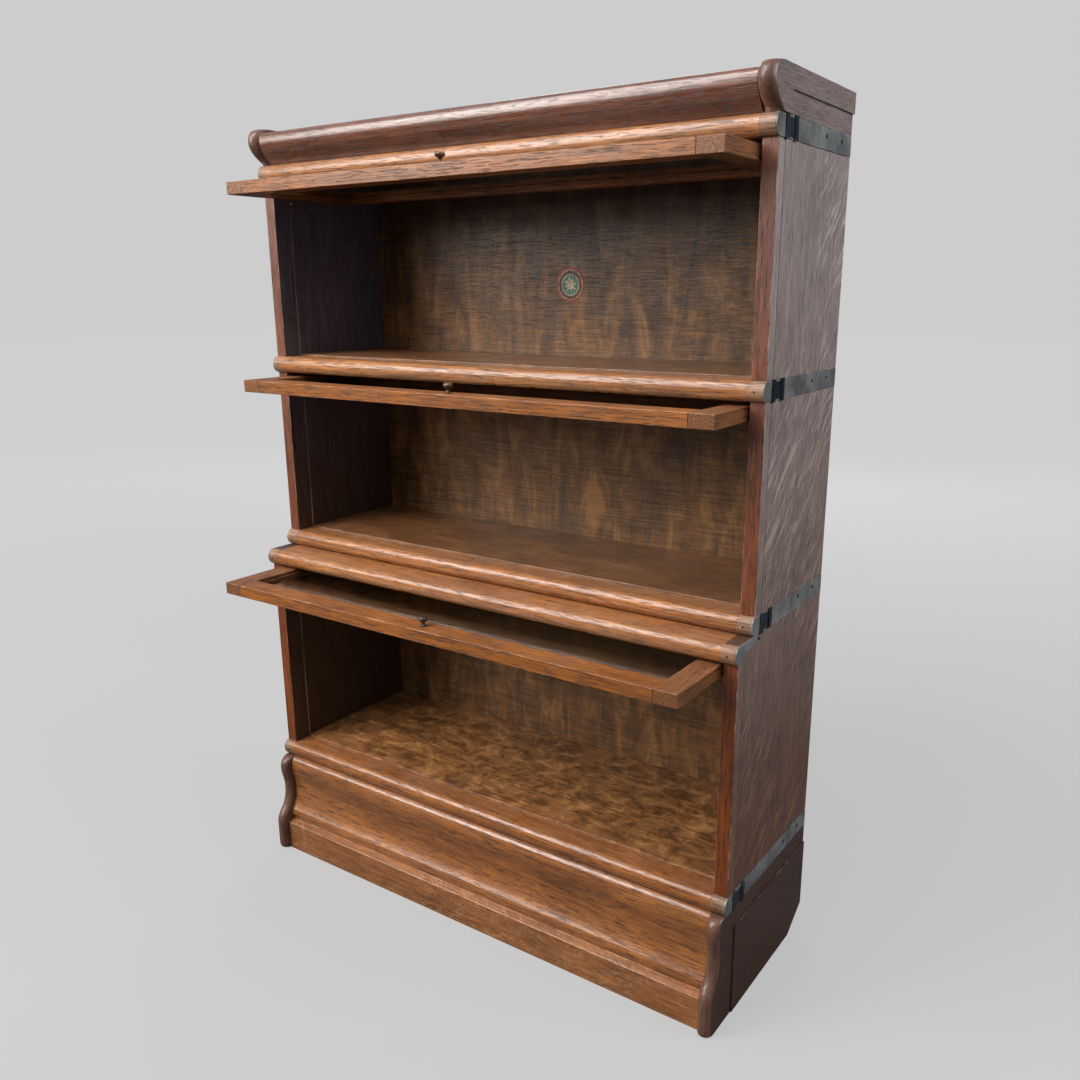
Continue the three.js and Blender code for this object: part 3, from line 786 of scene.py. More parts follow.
    hole = Oak("nail_hole", dark=paint(18, 12, 10), light=paint(40, 26, 20), rough=0.8, coat=0.0)
    felt = Oak(
        "dust_strip", dark=paint(96, 82, 70), light=paint(168, 152, 136), grain=Grain.ALONG_Z, rough=0.9,
        coat=0.0,
    )
    glass = Glass("pane_glass")
    floor = Floor("studio_floor")


# ---- shapes ----


def arc(centre: Point, radii: Point, start: float, end: float, steps: int) -> list[Point]:
    """Points along part of an ellipse.

    Args:
        centre: its middle.
        radii: its two radii.
        start: first angle in degrees.
        end: last angle in degrees.
        steps: how many straight runs.

    Returns:
        The points, both ends among them.
    """
    turns = [math.radians(start + (end - start) * i / steps) for i in range(steps + 1)]
    return [(centre[0] + radii[0] * math.cos(t), centre[1] + radii[1] * math.sin(t)) for t in turns]


def curve(line: list[Point], pull: Point, push: Point, end: Point, steps: int) -> None:
    """Carries a line of points on along a smooth curve.

    Args:
        line: the points so far. The curve leaves from the last of them.
        pull: the control point near the start.
        push: the control point near the end.
        end: where it ends.
        steps: how many straight runs.
    """
    corners = (line[-1], pull, push, end)
    for i in range(1, steps + 1):
        t = i / steps
        weights = ((1 - t) ** 3, 3 * t * (1 - t) ** 2, 3 * t * t * (1 - t), t**3)
        line.append(tuple(sum(w * c[axis] for w, c in zip(weights, corners)) for axis in (0, 1)))


def nose_outline(front: float, low: float, high: float, out: float, rear: float) -> list[Point]:
    """Outline of a board with a rounded front, in depth and height.

    Args:
        front: depth of the plane that the rounding starts from.
        low: its underside.
        high: its top.
        out: how far the rounding reaches in front.
        rear: depth of the back edge.

    Returns:
        The outline's points.
    """
    half = (high - low) / 2
    return [(rear, high), *arc((front, low + half), (out, half), 90, 270, 22), (rear, low)]


Tested = tuple[Finish, object]


class Solid:
    """A piece in the making."""

    def __init__(self, name: str) -> None:
        """Starts an empty mesh with its attributes for rubbed edges and dark joints."""
        self.name = name
        self.mesh = bmesh.new()
        self.wear = self.mesh.loops.layers.float.new("wear")
        self.joint = self.mesh.loops.layers.float.new("joint")

    def board(self, low: Vector, high: Vector) -> "Solid":
        """Adds a squared board between two corners."""
        size, middle = high - low, (low + high) / 2
        made = bmesh.ops.create_cube(self.mesh, size=1.0)["verts"]
        bmesh.ops.scale(self.mesh, vec=size, verts=made)
        bmesh.ops.translate(self.mesh, vec=middle, verts=made)
        return self

    def drawn(self, outline: list[Point], near: float, far: float) -> "Solid":
        """Adds an outline in depth and height, drawn out along X.

        Args:
            outline: points in order, as depth and height.
            near: where it starts in X.
            far: where it ends in X.

        Returns:
            The piece.
        """
        end = self.mesh.faces.new([self.mesh.verts.new((near, y, z)) for y, z in outline])
        self.pull([end], Vector((far - near, 0.0, 0.0)), keep=True)
        return self

    def pull(self, faces: list[Face], shift: Vector, keep: bool = False) -> list[Face]:
        """Draws faces out of the piece.

        Args:
            faces: the faces that move.
            shift: how far they go.
            keep: leaves the old faces behind as the other end.

        Returns:
            The faces in their new place.
        """
        made = bmesh.ops.extrude_face_region(self.mesh, geom=faces)["geom"]
        if not keep:
            bmesh.ops.delete(self.mesh, geom=[f for f in faces if f.is_valid], context="FACES_ONLY")
        moved = [v for v in made if isinstance(v, bmesh.types.BMVert)]
        bmesh.ops.translate(self.mesh, vec=shift, verts=moved)
        return [f for f in made if isinstance(f, Face)]

    def turned(self, outline: list[Point], steps: int = 32) -> "Solid":
        """Adds an outline in radius and height, turned once round Z."""
        points = [self.mesh.verts.new((r, 0.0, z)) for r, z in outline]
        runs = [self.mesh.edges.new(pair) for pair in zip(points, points[1:])]
        bmesh.ops.spin(
            self.mesh, geom=[*points, *runs], cent=(0.0, 0.0, 0.0), axis=UP, angle=math.tau, steps=steps,
            use_merge=True,
        )
        bmesh.ops.remove_doubles(self.mesh, verts=self.mesh.verts[:], dist=TINY)
        return self

    def moved(self, turn: Matrix, to: Vector) -> "Solid":
        """Turns the whole piece about the origin and then shifts it."""
        whole = Matrix.Translation(to) @ turn.to_4x4()
        bmesh.ops.transform(self.mesh, matrix=whole, verts=self.mesh.verts[:])
        return self

    def mark(self, faces: list[Face], layer: object, value: float) -> None:
        """Writes one value of an attribute on every corner of some faces."""
        for face in faces:
            for loop in face.loops:
                loop[layer] = value

    def bevel(self, edges: list[bmesh.types.BMEdge], width: float, segments: int, wear: float) -> "Solid":
        """Rounds edges and marks them as rubbed.

        Args:
            edges: the edges.
            width: width of the rounding.
            segments: how many strips round it.
            wear: how far it is rubbed, from 0 to 1.

        Returns:
            The piece.
        """
        made = bmesh.ops.bevel(
            self.mesh, geom=edges, offset=width, offset_type="OFFSET", segments=segments, profile=0.5,
            affect="EDGES", clamp_overlap=True, material=-1,
        )
        self.mark(made["faces"], self.wear, wear)
        return self

    def soften(self, width: float, segments: int = 3, sharper: float = 30.0) -> "Solid":
        """Rounds every sharp edge.

        Args:
            width: width of the rounding.
            segments: how many strips round it.
            sharper: least turn between two faces, in degrees.

        Returns:
            The piece.
        """
        bmesh.ops.recalc_face_normals(self.mesh, faces=self.mesh.faces[:])
        least = math.radians(sharper)
        sharp = [e for e in self.mesh.edges if e.is_manifold and e.calc_face_angle() > least]
        return self.bevel(sharp, width, segments, 1.0)

    def round_crown(self, rear: float, width: float) -> "Solid":
        """Rounds the rim of the top, all but its rear edge.

        Args:
            rear: depth of the rear edge.
            width: width of the rounding.

        Returns:
            The piece.
        """
        bmesh.ops.recalc_face_normals(self.mesh, faces=self.mesh.faces[:])
        crown = max(v.co.z for v in self.mesh.verts) - TINY
        rim = [
            e
            for e in self.mesh.edges
            if all(v.co.z > crown for v in e.verts)
            and any(v.co.y <= rear - TINY for v in e.verts)
            and any(f.normal.z < 0.9 for f in e.link_faces)
        ]
        return self.bevel(rim, width, 6, 0.45)

    def cut(self, point: Vector, across: Vector, facing: Vector) -> "Solid":
        """Cuts a line into the faces that look one way.

        Args:
            point: a point of the cutting plane.
            across: the plane's normal.
            facing: normal of the faces that are cut.

        Returns:
            The piece.
        """
        self.mesh.normal_update()
        faces = [f for f in self.mesh.faces if f.normal.dot(facing) > FLUSH]
        edges = dict.fromkeys(e for f in faces for e in f.edges)
        parts = [*faces, *edges, *dict.fromkeys(v for f in faces for v in f.verts)]
        bmesh.ops.bisect_plane(self.mesh, geom=parts, plane_co=point, plane_no=across, dist=TINY)
        return self

    def sink(self, low: Vector, high: Vector, facing: Vector, depth: float) -> "Solid":
        """Sinks the part of a flat face that lies between two corners.

        Args:
            low: lowest corner of the sunk part.
            high: highest corner of the sunk part.
            facing: normal of the face.
            depth: how deep it goes.

        Returns:
            The piece.
        """
        flat = [axis for axis in range(3) if abs(facing[axis]) < 0.5]
        for axis in flat:
            across = Vector([float(i == axis) for i in range(3)])
            self.cut(low, across, facing)
            self.cut(high, across, facing)
        self.mesh.normal_update()
        inside = [
            f
            for f in self.mesh.faces
            if f.normal.dot(facing) > FLUSH
            and all(low[a] < f.calc_center_median()[a] < high[a] for a in flat)
        ]
        self.pull(inside, -facing * depth)
        return self

    def mark_joint(self, low: float, high: float, facing: Vector) -> "Solid":
        """Darkens the narrow faces that lie between two depths and look one way."""
        self.mesh.normal_update()
        flush = [f for f in self.mesh.faces if f.normal.dot(facing) > FLUSH]
        self.mark([f for f in flush if low < f.calc_center_median().y < high], self.joint, 0.85)
        return self

    def dress(self, finishes: list[Tested]) -> None:
        """Gives each face the last finish whose test it passes.

        Args:
            finishes: pairs of a finish and a test on a face, with None for every face.
        """
        self.mesh.normal_update()
        for face in self.mesh.faces:
            face.smooth = True
            for index, (_, test) in enumerate(finishes):
                if test is None or test(face):
                    face.material_index = index

    def place(
        self, finish: Finish | list[Tested], body: str, slot: str, stands_for: tuple[str, ...] = ()
    ) -> None:
        """Makes the piece an object that moves with a body.

        Args:
            finish: one finish, or pairs of a finish and a test on a face.
            body: the CAD body that it rides on.
            slot: name of a material slot; not used.
            stands_for: the CAD nodes that it replaces.
        """
        finishes = [(finish, None)] if isinstance(finish, Finish) else finish
        bmesh.ops.recalc_face_normals(self.mesh, faces=self.mesh.faces[:])
        self.dress(finishes)
        data = bpy.data.meshes.new(self.name)
        self.mesh.to_mesh(data)
        self.mesh.free()
        data.set_sharp_from_angle(angle=math.radians(38))
        made = bpy.data.objects.new(self.name, data)
        bpy.context.scene.collection.objects.link(made)
        for worn, _ in finishes:
            data.materials.append(worn.material())
        even = made.modifiers.new("even shading", "WEIGHTED_NORMAL")
        even.keep_sharp = True
        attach(made, body)
        if stands_for:
            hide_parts(*stands_for)


def repaint(node: str, finish: Finish) -> None:
    """Gives a CAD node that stays a better finish."""
    shown = bpy.data.objects[node]
    for holder in shown.material_slots:
        holder.material = finish.material()


def outward(hand: float) -> Vector:
    """The direction that points out of one side."""
    return Vector((hand, 0.0, 0.0))


HANDS: tuple[tuple[str, int], ...] = (("left", -1), ("right", 1))


def handed(hand: int, near: float, far: float) -> Range:
    """Two distances from the middle as a lowest and a highest X."""
    return (near, far) if hand > 0 else (-far, -near)


def aimed(facing: Vector) -> Matrix:
    """The turn that brings Z to a direction."""
    return facing.to_track_quat("Z", "Y").to_matrix()


def build_rounded_rail(name: str, node: str, nose_out: float, rear: float | None = None) -> None:
    """Makes a rail with a rounded front in the box of the CAD node that it replaces.

    Args:
        name: the piece's name.
        node: the CAD node.
        nose_out: how far the rounding stands out.
        rear: depth of the back edge, where it isn't the node's.
    """
    low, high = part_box(node)
    outline = nose_outline(low.y + nose_out, low.z, high.z, nose_out, high.y if rear is None else rear)
    rail = Solid(name).drawn(outline, low.x, high.x).soften(0.4 * MM, 3)
    rail.place(Finishes.rail, "case", "front_oak", (node,))


def build_rail_end(name: str, hand: int, across: Range, outline: list[Point]) -> None:
    """Makes the block at one end of a rounded rail.

    Args:
        name: the piece's name.
        hand: -1 on the left and 1 on the right.
        across: distances of its two ends from the middle.
        outline: its outline.
    """
    block = Solid(name).drawn(outline, *handed(hand, *across)).soften(0.5 * MM, 3)
    block.place(Finishes.rail_end, "case", "side_oak")


# ---- small metal parts ----


@dataclass
class Screw:
    """A slotted round-head screw."""

    radius: float = 2.6 * MM
    rise: float = 0.9 * MM
    slot_width: float = 0.7 * MM
    turn: float = 0.5

    def build(self, name: str, centre: Vector, facing: Vector) -> None:
        """Makes one screw.

        Args:
            name: the piece's name.
            centre: middle of the head's underside.
            facing: the way that the head looks.
        """
        made = Solid(name)
        disc = bmesh.ops.create_circle(made.mesh, cap_ends=True, radius=self.radius, segments=20)["verts"]
        made.pull([disc[0].link_faces[0]], UP * self.rise, keep=True)
        made.soften(self.rise * 0.6, 3)
        corner = Vector((self.radius * 0.8, self.slot_width / 2, 0.0))
        made.sink(-corner, corner, UP, self.rise * 0.6)
        made.moved(aimed(facing) @ Matrix.Rotation(self.turn, 3, "Z"), centre)
        made.place(Finishes.screw, "case", "band_steel")


@dataclass
class Knob:
    """A small turned pull on a round foot."""

    foot: float = 5.6 * MM
    stem: float = 3.0 * MM
    head: float = 7.0 * MM

    def build(self, door: str) -> None:
        """Makes the pull in its CAD box.

        Args:
            door: the door section's name.
        """
        low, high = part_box(f"{door}_door_knob")
        rise = high.z - low.z
        outline = [(0.0, 0.0), (self.foot, 0.0), (self.foot, rise * 0.06)]
        curve(outline, (self.stem, rise * 0.12), (self.stem, rise * 0.2), (self.stem, rise * 0.36), 6)
        curve(outline, (self.stem * 1.1, rise * 0.52), (self.head, rise * 0.5), (self.head, rise * 0.68), 7)
        curve(outline, (self.head, rise * 0.84), (self.head * 0.75, rise), (0.0, rise), 9)
        base = Vector(((low.x + high.x) / 2, (low.y + high.y) / 2, low.z))
        made = Solid(f"{door}_knob").turned(outline, 36).moved(Matrix.Identity(3), base)
        crown = rise * 0.8 + low.z
        for face in made.mesh.faces:
            for loop in face.loops:
                loop[made.wear] = 1.0 if loop.vert.co.z > crown else 0.25
        made.place(Finishes.bronze, f"{door}_door", "knob_bronze", (f"{door}_door_knob",))


@dataclass
class BandEnd:
    """The steel strap on one end of a rounded rail, with its end plate, clip and screws."""

    thickness: float = 1.5 * MM
    nose_out: float = 9.7 * MM
    lap: float = 1.1 * MM
    clip_start: float = 14 * MM
    clip_length: float = 36 * MM
    clip_bar: float = 9 * MM
    waist_inset: float = 3 * MM
    waist_fall: float = 1.1 * MM
    waist_root: float = 1 * MM
    plate_rise: float = 0.4 * MM
    sunk: float = 0.2 * MM
    screw_depths: tuple[float, ...] = (0.107, 0.161)
    screw_level: float = 0.62

    def build(self, name: str, hand: int) -> None:
        """Makes the strap and what is on it in the CAD node's box.

        Args:
            name: the CAD node's name.
            hand: -1 on the left and 1 on the right.
        """
        low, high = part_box(name)
        near, far = handed(hand, low.x, high.x)
        face = near + self.thickness
        bottom, top = low.z + self.lap, high.z - self.lap
        front = low.y + self.nose_out
        strap = Solid(f"{name}_strap")
        strap.drawn(nose_outline(front, bottom, top, self.nose_out, high.y), *handed(hand, near, face))
        strap.soften(0.25 * MM, 2).place(Finishes.band, "case", "band_steel", (name,))

        root, clip_front = face - self.sunk, front + self.clip_start
        plate = Solid(f"{name}_end_plate")
        outline = nose_outline(front, bottom, top, self.nose_out, clip_front)
        plate.drawn(outline, *handed(hand, root, face + self.plate_rise))
        plate.soften(0.25 * MM, 2).place(Finishes.end_plate, "case", "band_steel")

        clip_rear = clip_front + self.clip_length
        waist = clip_front + self.clip_bar - self.waist_root, clip_rear - self.clip_bar + self.waist_root
        clip = Solid(f"{name}_clip")
        for (y0, y1), fall, inset in (
            ((clip_front, clip_front + self.clip_bar), 0.0, 0.0),
            (waist, self.waist_fall, self.waist_inset),
            ((clip_rear - self.clip_bar, clip_rear), 0.0, 0.0),
        ):
            x0, x1 = handed(hand, root, far - fall)
            clip.board(Vector((x0, y0, low.z + inset)), Vector((x1, y1, high.z - inset)))
        clip.soften(0.35 * MM, 2).place(Finishes.clip, "case", "band_steel")

        for index, y in enumerate(self.screw_depths, 1):
            place = Vector((hand * face, y, bottom + (top - bottom) * self.screw_level))
            Screw().build(f"{name}_screw_{index}", place, outward(hand))


# ---- one section of the case ----


@dataclass
class Section:
    """One box of the stack: two sides, the rounded rail, the shelf, the back and its metal parts."""

    name: str
    has_ledge: bool = False
    nose_out: float = 10 * MM
    rail_height: float = 25.5 * MM
    lipping: float = 18 * MM
    hairline: float = 1.4 * MM
    groove_half: float = 6 * MM
    groove_depth: float = 10 * MM
    band_recess: float = 0.75 * MM
    groove_front: float = 6 * MM
    strip_depth: float = 31 * MM
    strip_size: Range = (1.2 * MM, 2.2 * MM)
    strip_foot: float = 3 * MM
    stud_radius: float = 3.4 * MM
    stud_depth: float = 35 * MM
    stud_drop: float = 3.6 * MM
    screw_inset: float = 9 * MM

    def __post_init__(self) -> None:
        """Reads the section's corners and the height of the door's pivot from the CAD."""
        self.low, self.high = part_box(f"{self.name}_side_right")
        self.front = self.low.y + self.nose_out
        self.rail_top = self.low.z + self.rail_height
        shoe_low, shoe_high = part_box(f"{self.name}_shoe_right")
        self.pivot_height = (shoe_low.z + shoe_high.z) / 2
        self.groove_rear = shoe_high.y

    def build_side(self, label: str, hand: int) -> None:
        """Makes one side board with its lipping line and the door's groove.

        Args:
            label: left or right.
            hand: -1 or 1.
        """
        out, inside = outward(hand), self.high.x - 2 * MM
        x0, x1 = handed(hand, self.low.x, self.high.x)
        wall = Solid(f"{self.name}_side_board_{label}")
        wall.board(Vector((x0, self.front, self.rail_top)), Vector((x1, self.high.y, self.high.z)))
        depth = self.front + self.lipping
        for y in (depth, depth + self.hairline):
            wall.cut(REARWARD * y, REARWARD, out)
        wall.mark_joint(depth, depth + self.hairline, out)
        groove_low = Vector((0.0, self.front + self.groove_front, self.pivot_height - self.groove_half))
        groove_high = Vector((0.0, self.groove_rear, self.pivot_height + self.groove_half))
        wall.sink(groove_low, groove_high, -out, self.groove_depth)
        wall.soften(0.9 * MM, 3)

        def on_lipping(face: Face) -> bool:
            """True for the solid strip along the front, outside."""
            return face.calc_center_median().y < depth and face.normal.y > -0.5

        def on_inside(face: Face) -> bool:
            """True for what looks into the case."""
            return face.calc_center_median().x * hand < inside and face.normal.y > -0.5

        def on_front(face: Face) -> bool:
            """True for the front edge."""
            return face.normal.y < -0.5

        finishes = [
            (Finishes.side_face, None),
            (Finishes.side_lipping, on_lipping),
            (Finishes.side_inner, on_inside),
            (Finishes.side_edge, on_front),
        ]
        wall.place(finishes, "case", "side_oak", (f"{self.name}_side_{label}",))

    def build_rail_ends(self, label: str, hand: int) -> None:
        """Makes the side's rounded foot, and its rounded head where a ledge meets it.

        Args:
            label: left or right.
            hand: -1 or 1.
        """
        levels = [(self.low.z, self.rail_top, self.high.y, "foot")]
        if self.has_ledge:
            levels.append((self.high.z - self.rail_height, self.high.z, self.front + 0.2 * MM, "head"))
        for low, high, rear, part in levels:
            outline = nose_outline(self.front, low, high, self.nose_out, rear)
            across = (self.low.x, self.high.x - self.band_recess)
            build_rail_end(f"{self.name}_rail_end_{part}_{label}", hand, across, outline)
            self.add_pin(f"{self.name}_{part}_{label}", hand, (low + high) / 2)

    def add_pin(self, name: str, hand: int, height: float) -> None:
        """Makes the plugged nail hole and the bright pin near the end of a rounded rail.

        Args:
            name: start of the pieces' names.
            hand: -1 or 1.
            height: their height.
        """
        for part, shift, radius, finish in (
            ("hole", 8.5 * MM, 1.5 * MM, Finishes.hole),
            ("pin", 5.0 * MM, 0.9 * MM, Finishes.pin),
        ):
            head = Solid(f"{name}_{part}")
            head.turned([(0.0, 0.0), (radius, 0.0), (radius * 0.8, 0.3 * MM), (0.0, 0.45 * MM)], 14)
            at = Vector((hand * (self.low.x + shift), self.front - self.nose_out + 0.1 * MM, height))
            head.moved(aimed(FORWARD), at).place(finish, "case", "front_oak")

    def build_rails(self) -> None:
        """Makes the rounded rail, the shelf, and the ledge where there is one."""
        build_rounded_rail(f"{self.name}_front_rail", f"{self.name}_rail", self.nose_out)
        low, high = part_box(f"{self.name}_shelf")
        shelf = Solid(f"{self.name}_shelf_board").board(low, high).soften(0.8 * MM, 3)
        finish = Finishes.bottom_shelf if self.name == "bottom" else Finishes.shelf
        shelf.place(finish, "case", "shelf_veneer", (f"{self.name}_shelf",))
        if self.has_ledge:
            build_rounded_rail(f"{self.name}_ledge_board", f"{self.name}_ledge", self.nose_out)

    def build_fittings(self, label: str, hand: int) -> None:
        """Makes one side's strap, the stud that an open door rests on, and the felt strip against dust.

        Args:
            label: left or right.
            hand: -1 or 1.
        """
        BandEnd().build(f"{self.name}_band_{label}", hand)
        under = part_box(f"{self.name}_door_stile_right")[0].z - self.stud_drop
        radius = self.stud_radius
        dome = [(0.0, 0.0), (radius, 0.0), (radius, 1.2 * MM), (radius * 0.7, 2.1 * MM), (0.0, 2.3 * MM)]
        stud = Solid(f"{self.name}_stud_{label}").turned(dome, 20)
        stud.moved(aimed(-outward(hand)), Vector((hand * self.low.x, self.front + self.stud_depth, under)))
        stud.place(Finishes.pin, "case", "band_steel")
        thick, wide = self.strip_size
        x0, x1 = handed(hand, self.low.x - thick, self.low.x)
        y, top = self.front + self.strip_depth, self.pivot_height - self.groove_half
        strip = Solid(f"{self.name}_felt_strip_{label}")
        strip.board(Vector((x0, y, self.rail_top + self.strip_foot)), Vector((x1, y + wide, top)))
        strip.soften(0.4 * MM, 2).place(Finishes.felt, "case", "side_oak")

    def build_back(self) -> None:
        """Makes the back panel, varnished inside and bare outside, and the screws round its rim."""
        low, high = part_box(f"{self.name}_back")

        def on_rear(face: Face) -> bool:
            """True for the outside of the panel."""
            return face.normal.y > 0.5

        panel = Solid(f"{self.name}_back_panel").board(low, high).soften(1.2 * MM, 3)
        finishes = [(Finishes.back, None), (Finishes.rear_panel, on_rear)]
        panel.place(finishes, "case", "back_veneer", (f"{self.name}_back",))
        reach = high.x - self.screw_inset
        for across in range(-3, 4):
            for edge, height in (("foot", low.z + self.screw_inset), ("head", high.z - self.screw_inset)):
                at = Vector((reach * across / 3, high.y - 0.1 * MM, height))
                Screw().build(f"{self.name}_back_screw_{edge}_{across + 4}", at, REARWARD)

    def build(self) -> None:
        """Makes the whole section."""
        for label, hand in HANDS:
            self.build_side(label, hand)
            self.build_rail_ends(label, hand)
        self.build_rails()
        for label, hand in HANDS:
            self.build_fittings(label, hand)
        self.build_back()
        log.info("section %s", self.name)


@dataclass
class StepPlate:
    """The short steel plate on each end of the bottom section's ledge."""

    nose_out: float = 9.7 * MM
    neck: float = 16 * MM
    lap: float = 0.8 * MM
    screw_inset: float = 6 * MM

    def build(self, label: str, hand: int) -> None:
        """Makes one plate and its screw.

        Args:
            label: left or right.
            hand: -1 or 1.
        """
        low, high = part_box(f"step_plate_{label}")
        near, far = handed(hand, low.x, high.x)
        front, half = low.y + self.nose_out, (high.z - low.z) / 2
        tongue, top = low.z + half, high.z - self.lap
        outline = [(high.y, tongue), (high.y, top), (front, top)]
        outline += arc((front, tongue), (self.nose_out, half), 90, 270, 22)
        outline.append((front + self.neck, tongue))
        strap = Solid(f"step_plate_{label}_strap").drawn(outline, *handed(hand, near, far))
        strap.soften(0.25 * MM, 2).place(Finishes.band, "case", "band_steel", (f"step_plate_{label}",))
        place = Vector((hand * far, high.y - self.screw_inset, (tongue + high.z) / 2))
        Screw().build(f"step_plate_{label}_screw", place, outward(hand))


# ---- doors ----


@dataclass
class Door:
    """A glazed door, lying level in its open place."""

    name: str
    frame_width: float = 34 * MM
    bead: float = 5 * MM
    upper_bead: float = 2.5 * MM

    def __post_init__(self) -> None:
        """Reads the door's corners from the CAD."""
        self.low, self.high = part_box(f"{self.name}_door_stile_right")
        self.half = (self.high.z - self.low.z) / 2
        self.middle = (self.high.z + self.low.z) / 2
        self.pivot = self.high.y - self.half
        self.inner = self.high.x - self.frame_width

    def outline(self, front: float) -> list[Point]:
        """Outline from a depth back to the round pivot edge."""
        round_edge = arc((self.pivot, self.middle), (self.half, self.half), -90, 90, 18)
        return [(front, self.low.z), *round_edge, (front, self.high.z)]

    def build_frame(self) -> None:
        """Makes the two stiles and the two rails between them."""
        name, body = self.name, f"{self.name}_door"
        for label, hand in HANDS:
            stile = Solid(f"{name}_stile_{label}")
            stile.drawn(self.outline(self.low.y), *handed(hand, self.inner, self.high.x)).soften(1.0 * MM, 3)
            stile.place(Finishes.stile, body, "door_oak", (f"{name}_door_stile_{label}",))
        gap, foot_rear = self.inner - 0.1 * MM, self.low.y + self.frame_width
        foot = Solid(f"{name}_foot_rail")
        foot.board(Vector((-gap, self.low.y, self.low.z)), Vector((gap, foot_rear, self.high.z)))
        foot.soften(1.0 * MM, 3).place(Finishes.door_rail, body, "door_oak", (f"{name}_door_bottom_rail",))
        head = Solid(f"{name}_head_rail").drawn(self.outline(self.high.y - self.frame_width), -gap, gap)
        head.soften(1.0 * MM, 3).place(Finishes.door_rail, body, "door_oak", (f"{name}_door_top_rail",))

    def build_beads(self) -> None:
        """Makes the thin beads that hold the pane, below and above it."""
        near, rear, edge = self.low.y + self.frame_width, self.high.y - self.frame_width, self.inner
        for part, base, rise, width in (
            ("under", -1.5 * MM, -3.5 * MM, self.bead),
            ("upper", 1.5 * MM, 2.0 * MM, self.upper_bead),
        ):
            z0, z1 = sorted((self.middle + base, self.middle + base + rise))
            for where, finish, x0, x1, y0, y1 in (
                ("foot", Finishes.door_rail, -edge, edge, near, near + width),
                ("head", Finishes.door_rail, -edge, edge, rear - width, rear),
                ("left", Finishes.stile, -edge, -edge + width, near, rear),
                ("right", Finishes.stile, edge - width, edge, near, rear),
            ):
                bead = Solid(f"{self.name}_bead_{part}_{where}")
                bead.board(Vector((x0, y0, z0)), Vector((x1, y1, z1))).soften(0.7 * MM, 2)
                bead.place(finish, f"{self.name}_door", "door_oak")

    def build(self) -> None:
        """Makes the whole door."""
        self.build_frame()
        self.build_beads()
        Knob().build(self.name)
        repaint(f"{self.name}_door_glass", Finishes.glass)
        for label, _ in HANDS:
            repaint(f"{self.name}_shoe_{label}", Finishes.band)
        log.info("door %s", self.name)


# ---- cornice and plinth ----


def shaped_end(name: str, hand: int, box: Range, rear: float, profile: list[Point]) -> Solid:
    """Starts an end that is half-round in plan and follows a front profile upwards.

    Args:
        name: the piece's name.
        hand: -1 or 1.
        box: distances of its two faces from the middle.
        rear: depth of its back edge.
        profile: depth and height of the front of the rounding, from the bottom up.

    Returns:
        The piece.
    """
    made = Solid(name)
    middle, radius = (box[0] + box[1]) / 2, (box[1] - box[0]) / 2
    depth, level = profile[0]
    front = arc((middle, depth + radius), (radius, radius), 180, 360, 16)
    plan = [(middle - radius, rear), *front, (middle + radius, rear)]
    foot = face = made.mesh.faces.new([made.mesh.verts.new((hand * x, y, level)) for x, y in plan])
    for (y0, z0), (y1, z1) in zip(profile, profile[1:]):
        (face,) = made.pull([face], UP * (z1 - z0), keep=face is foot)
        rounded = [v for v in face.verts if v.co.y < y0 + radius * 1.01]
        bmesh.ops.translate(made.mesh, vec=REARWARD * (y1 - y0), verts=rounded)
    return made


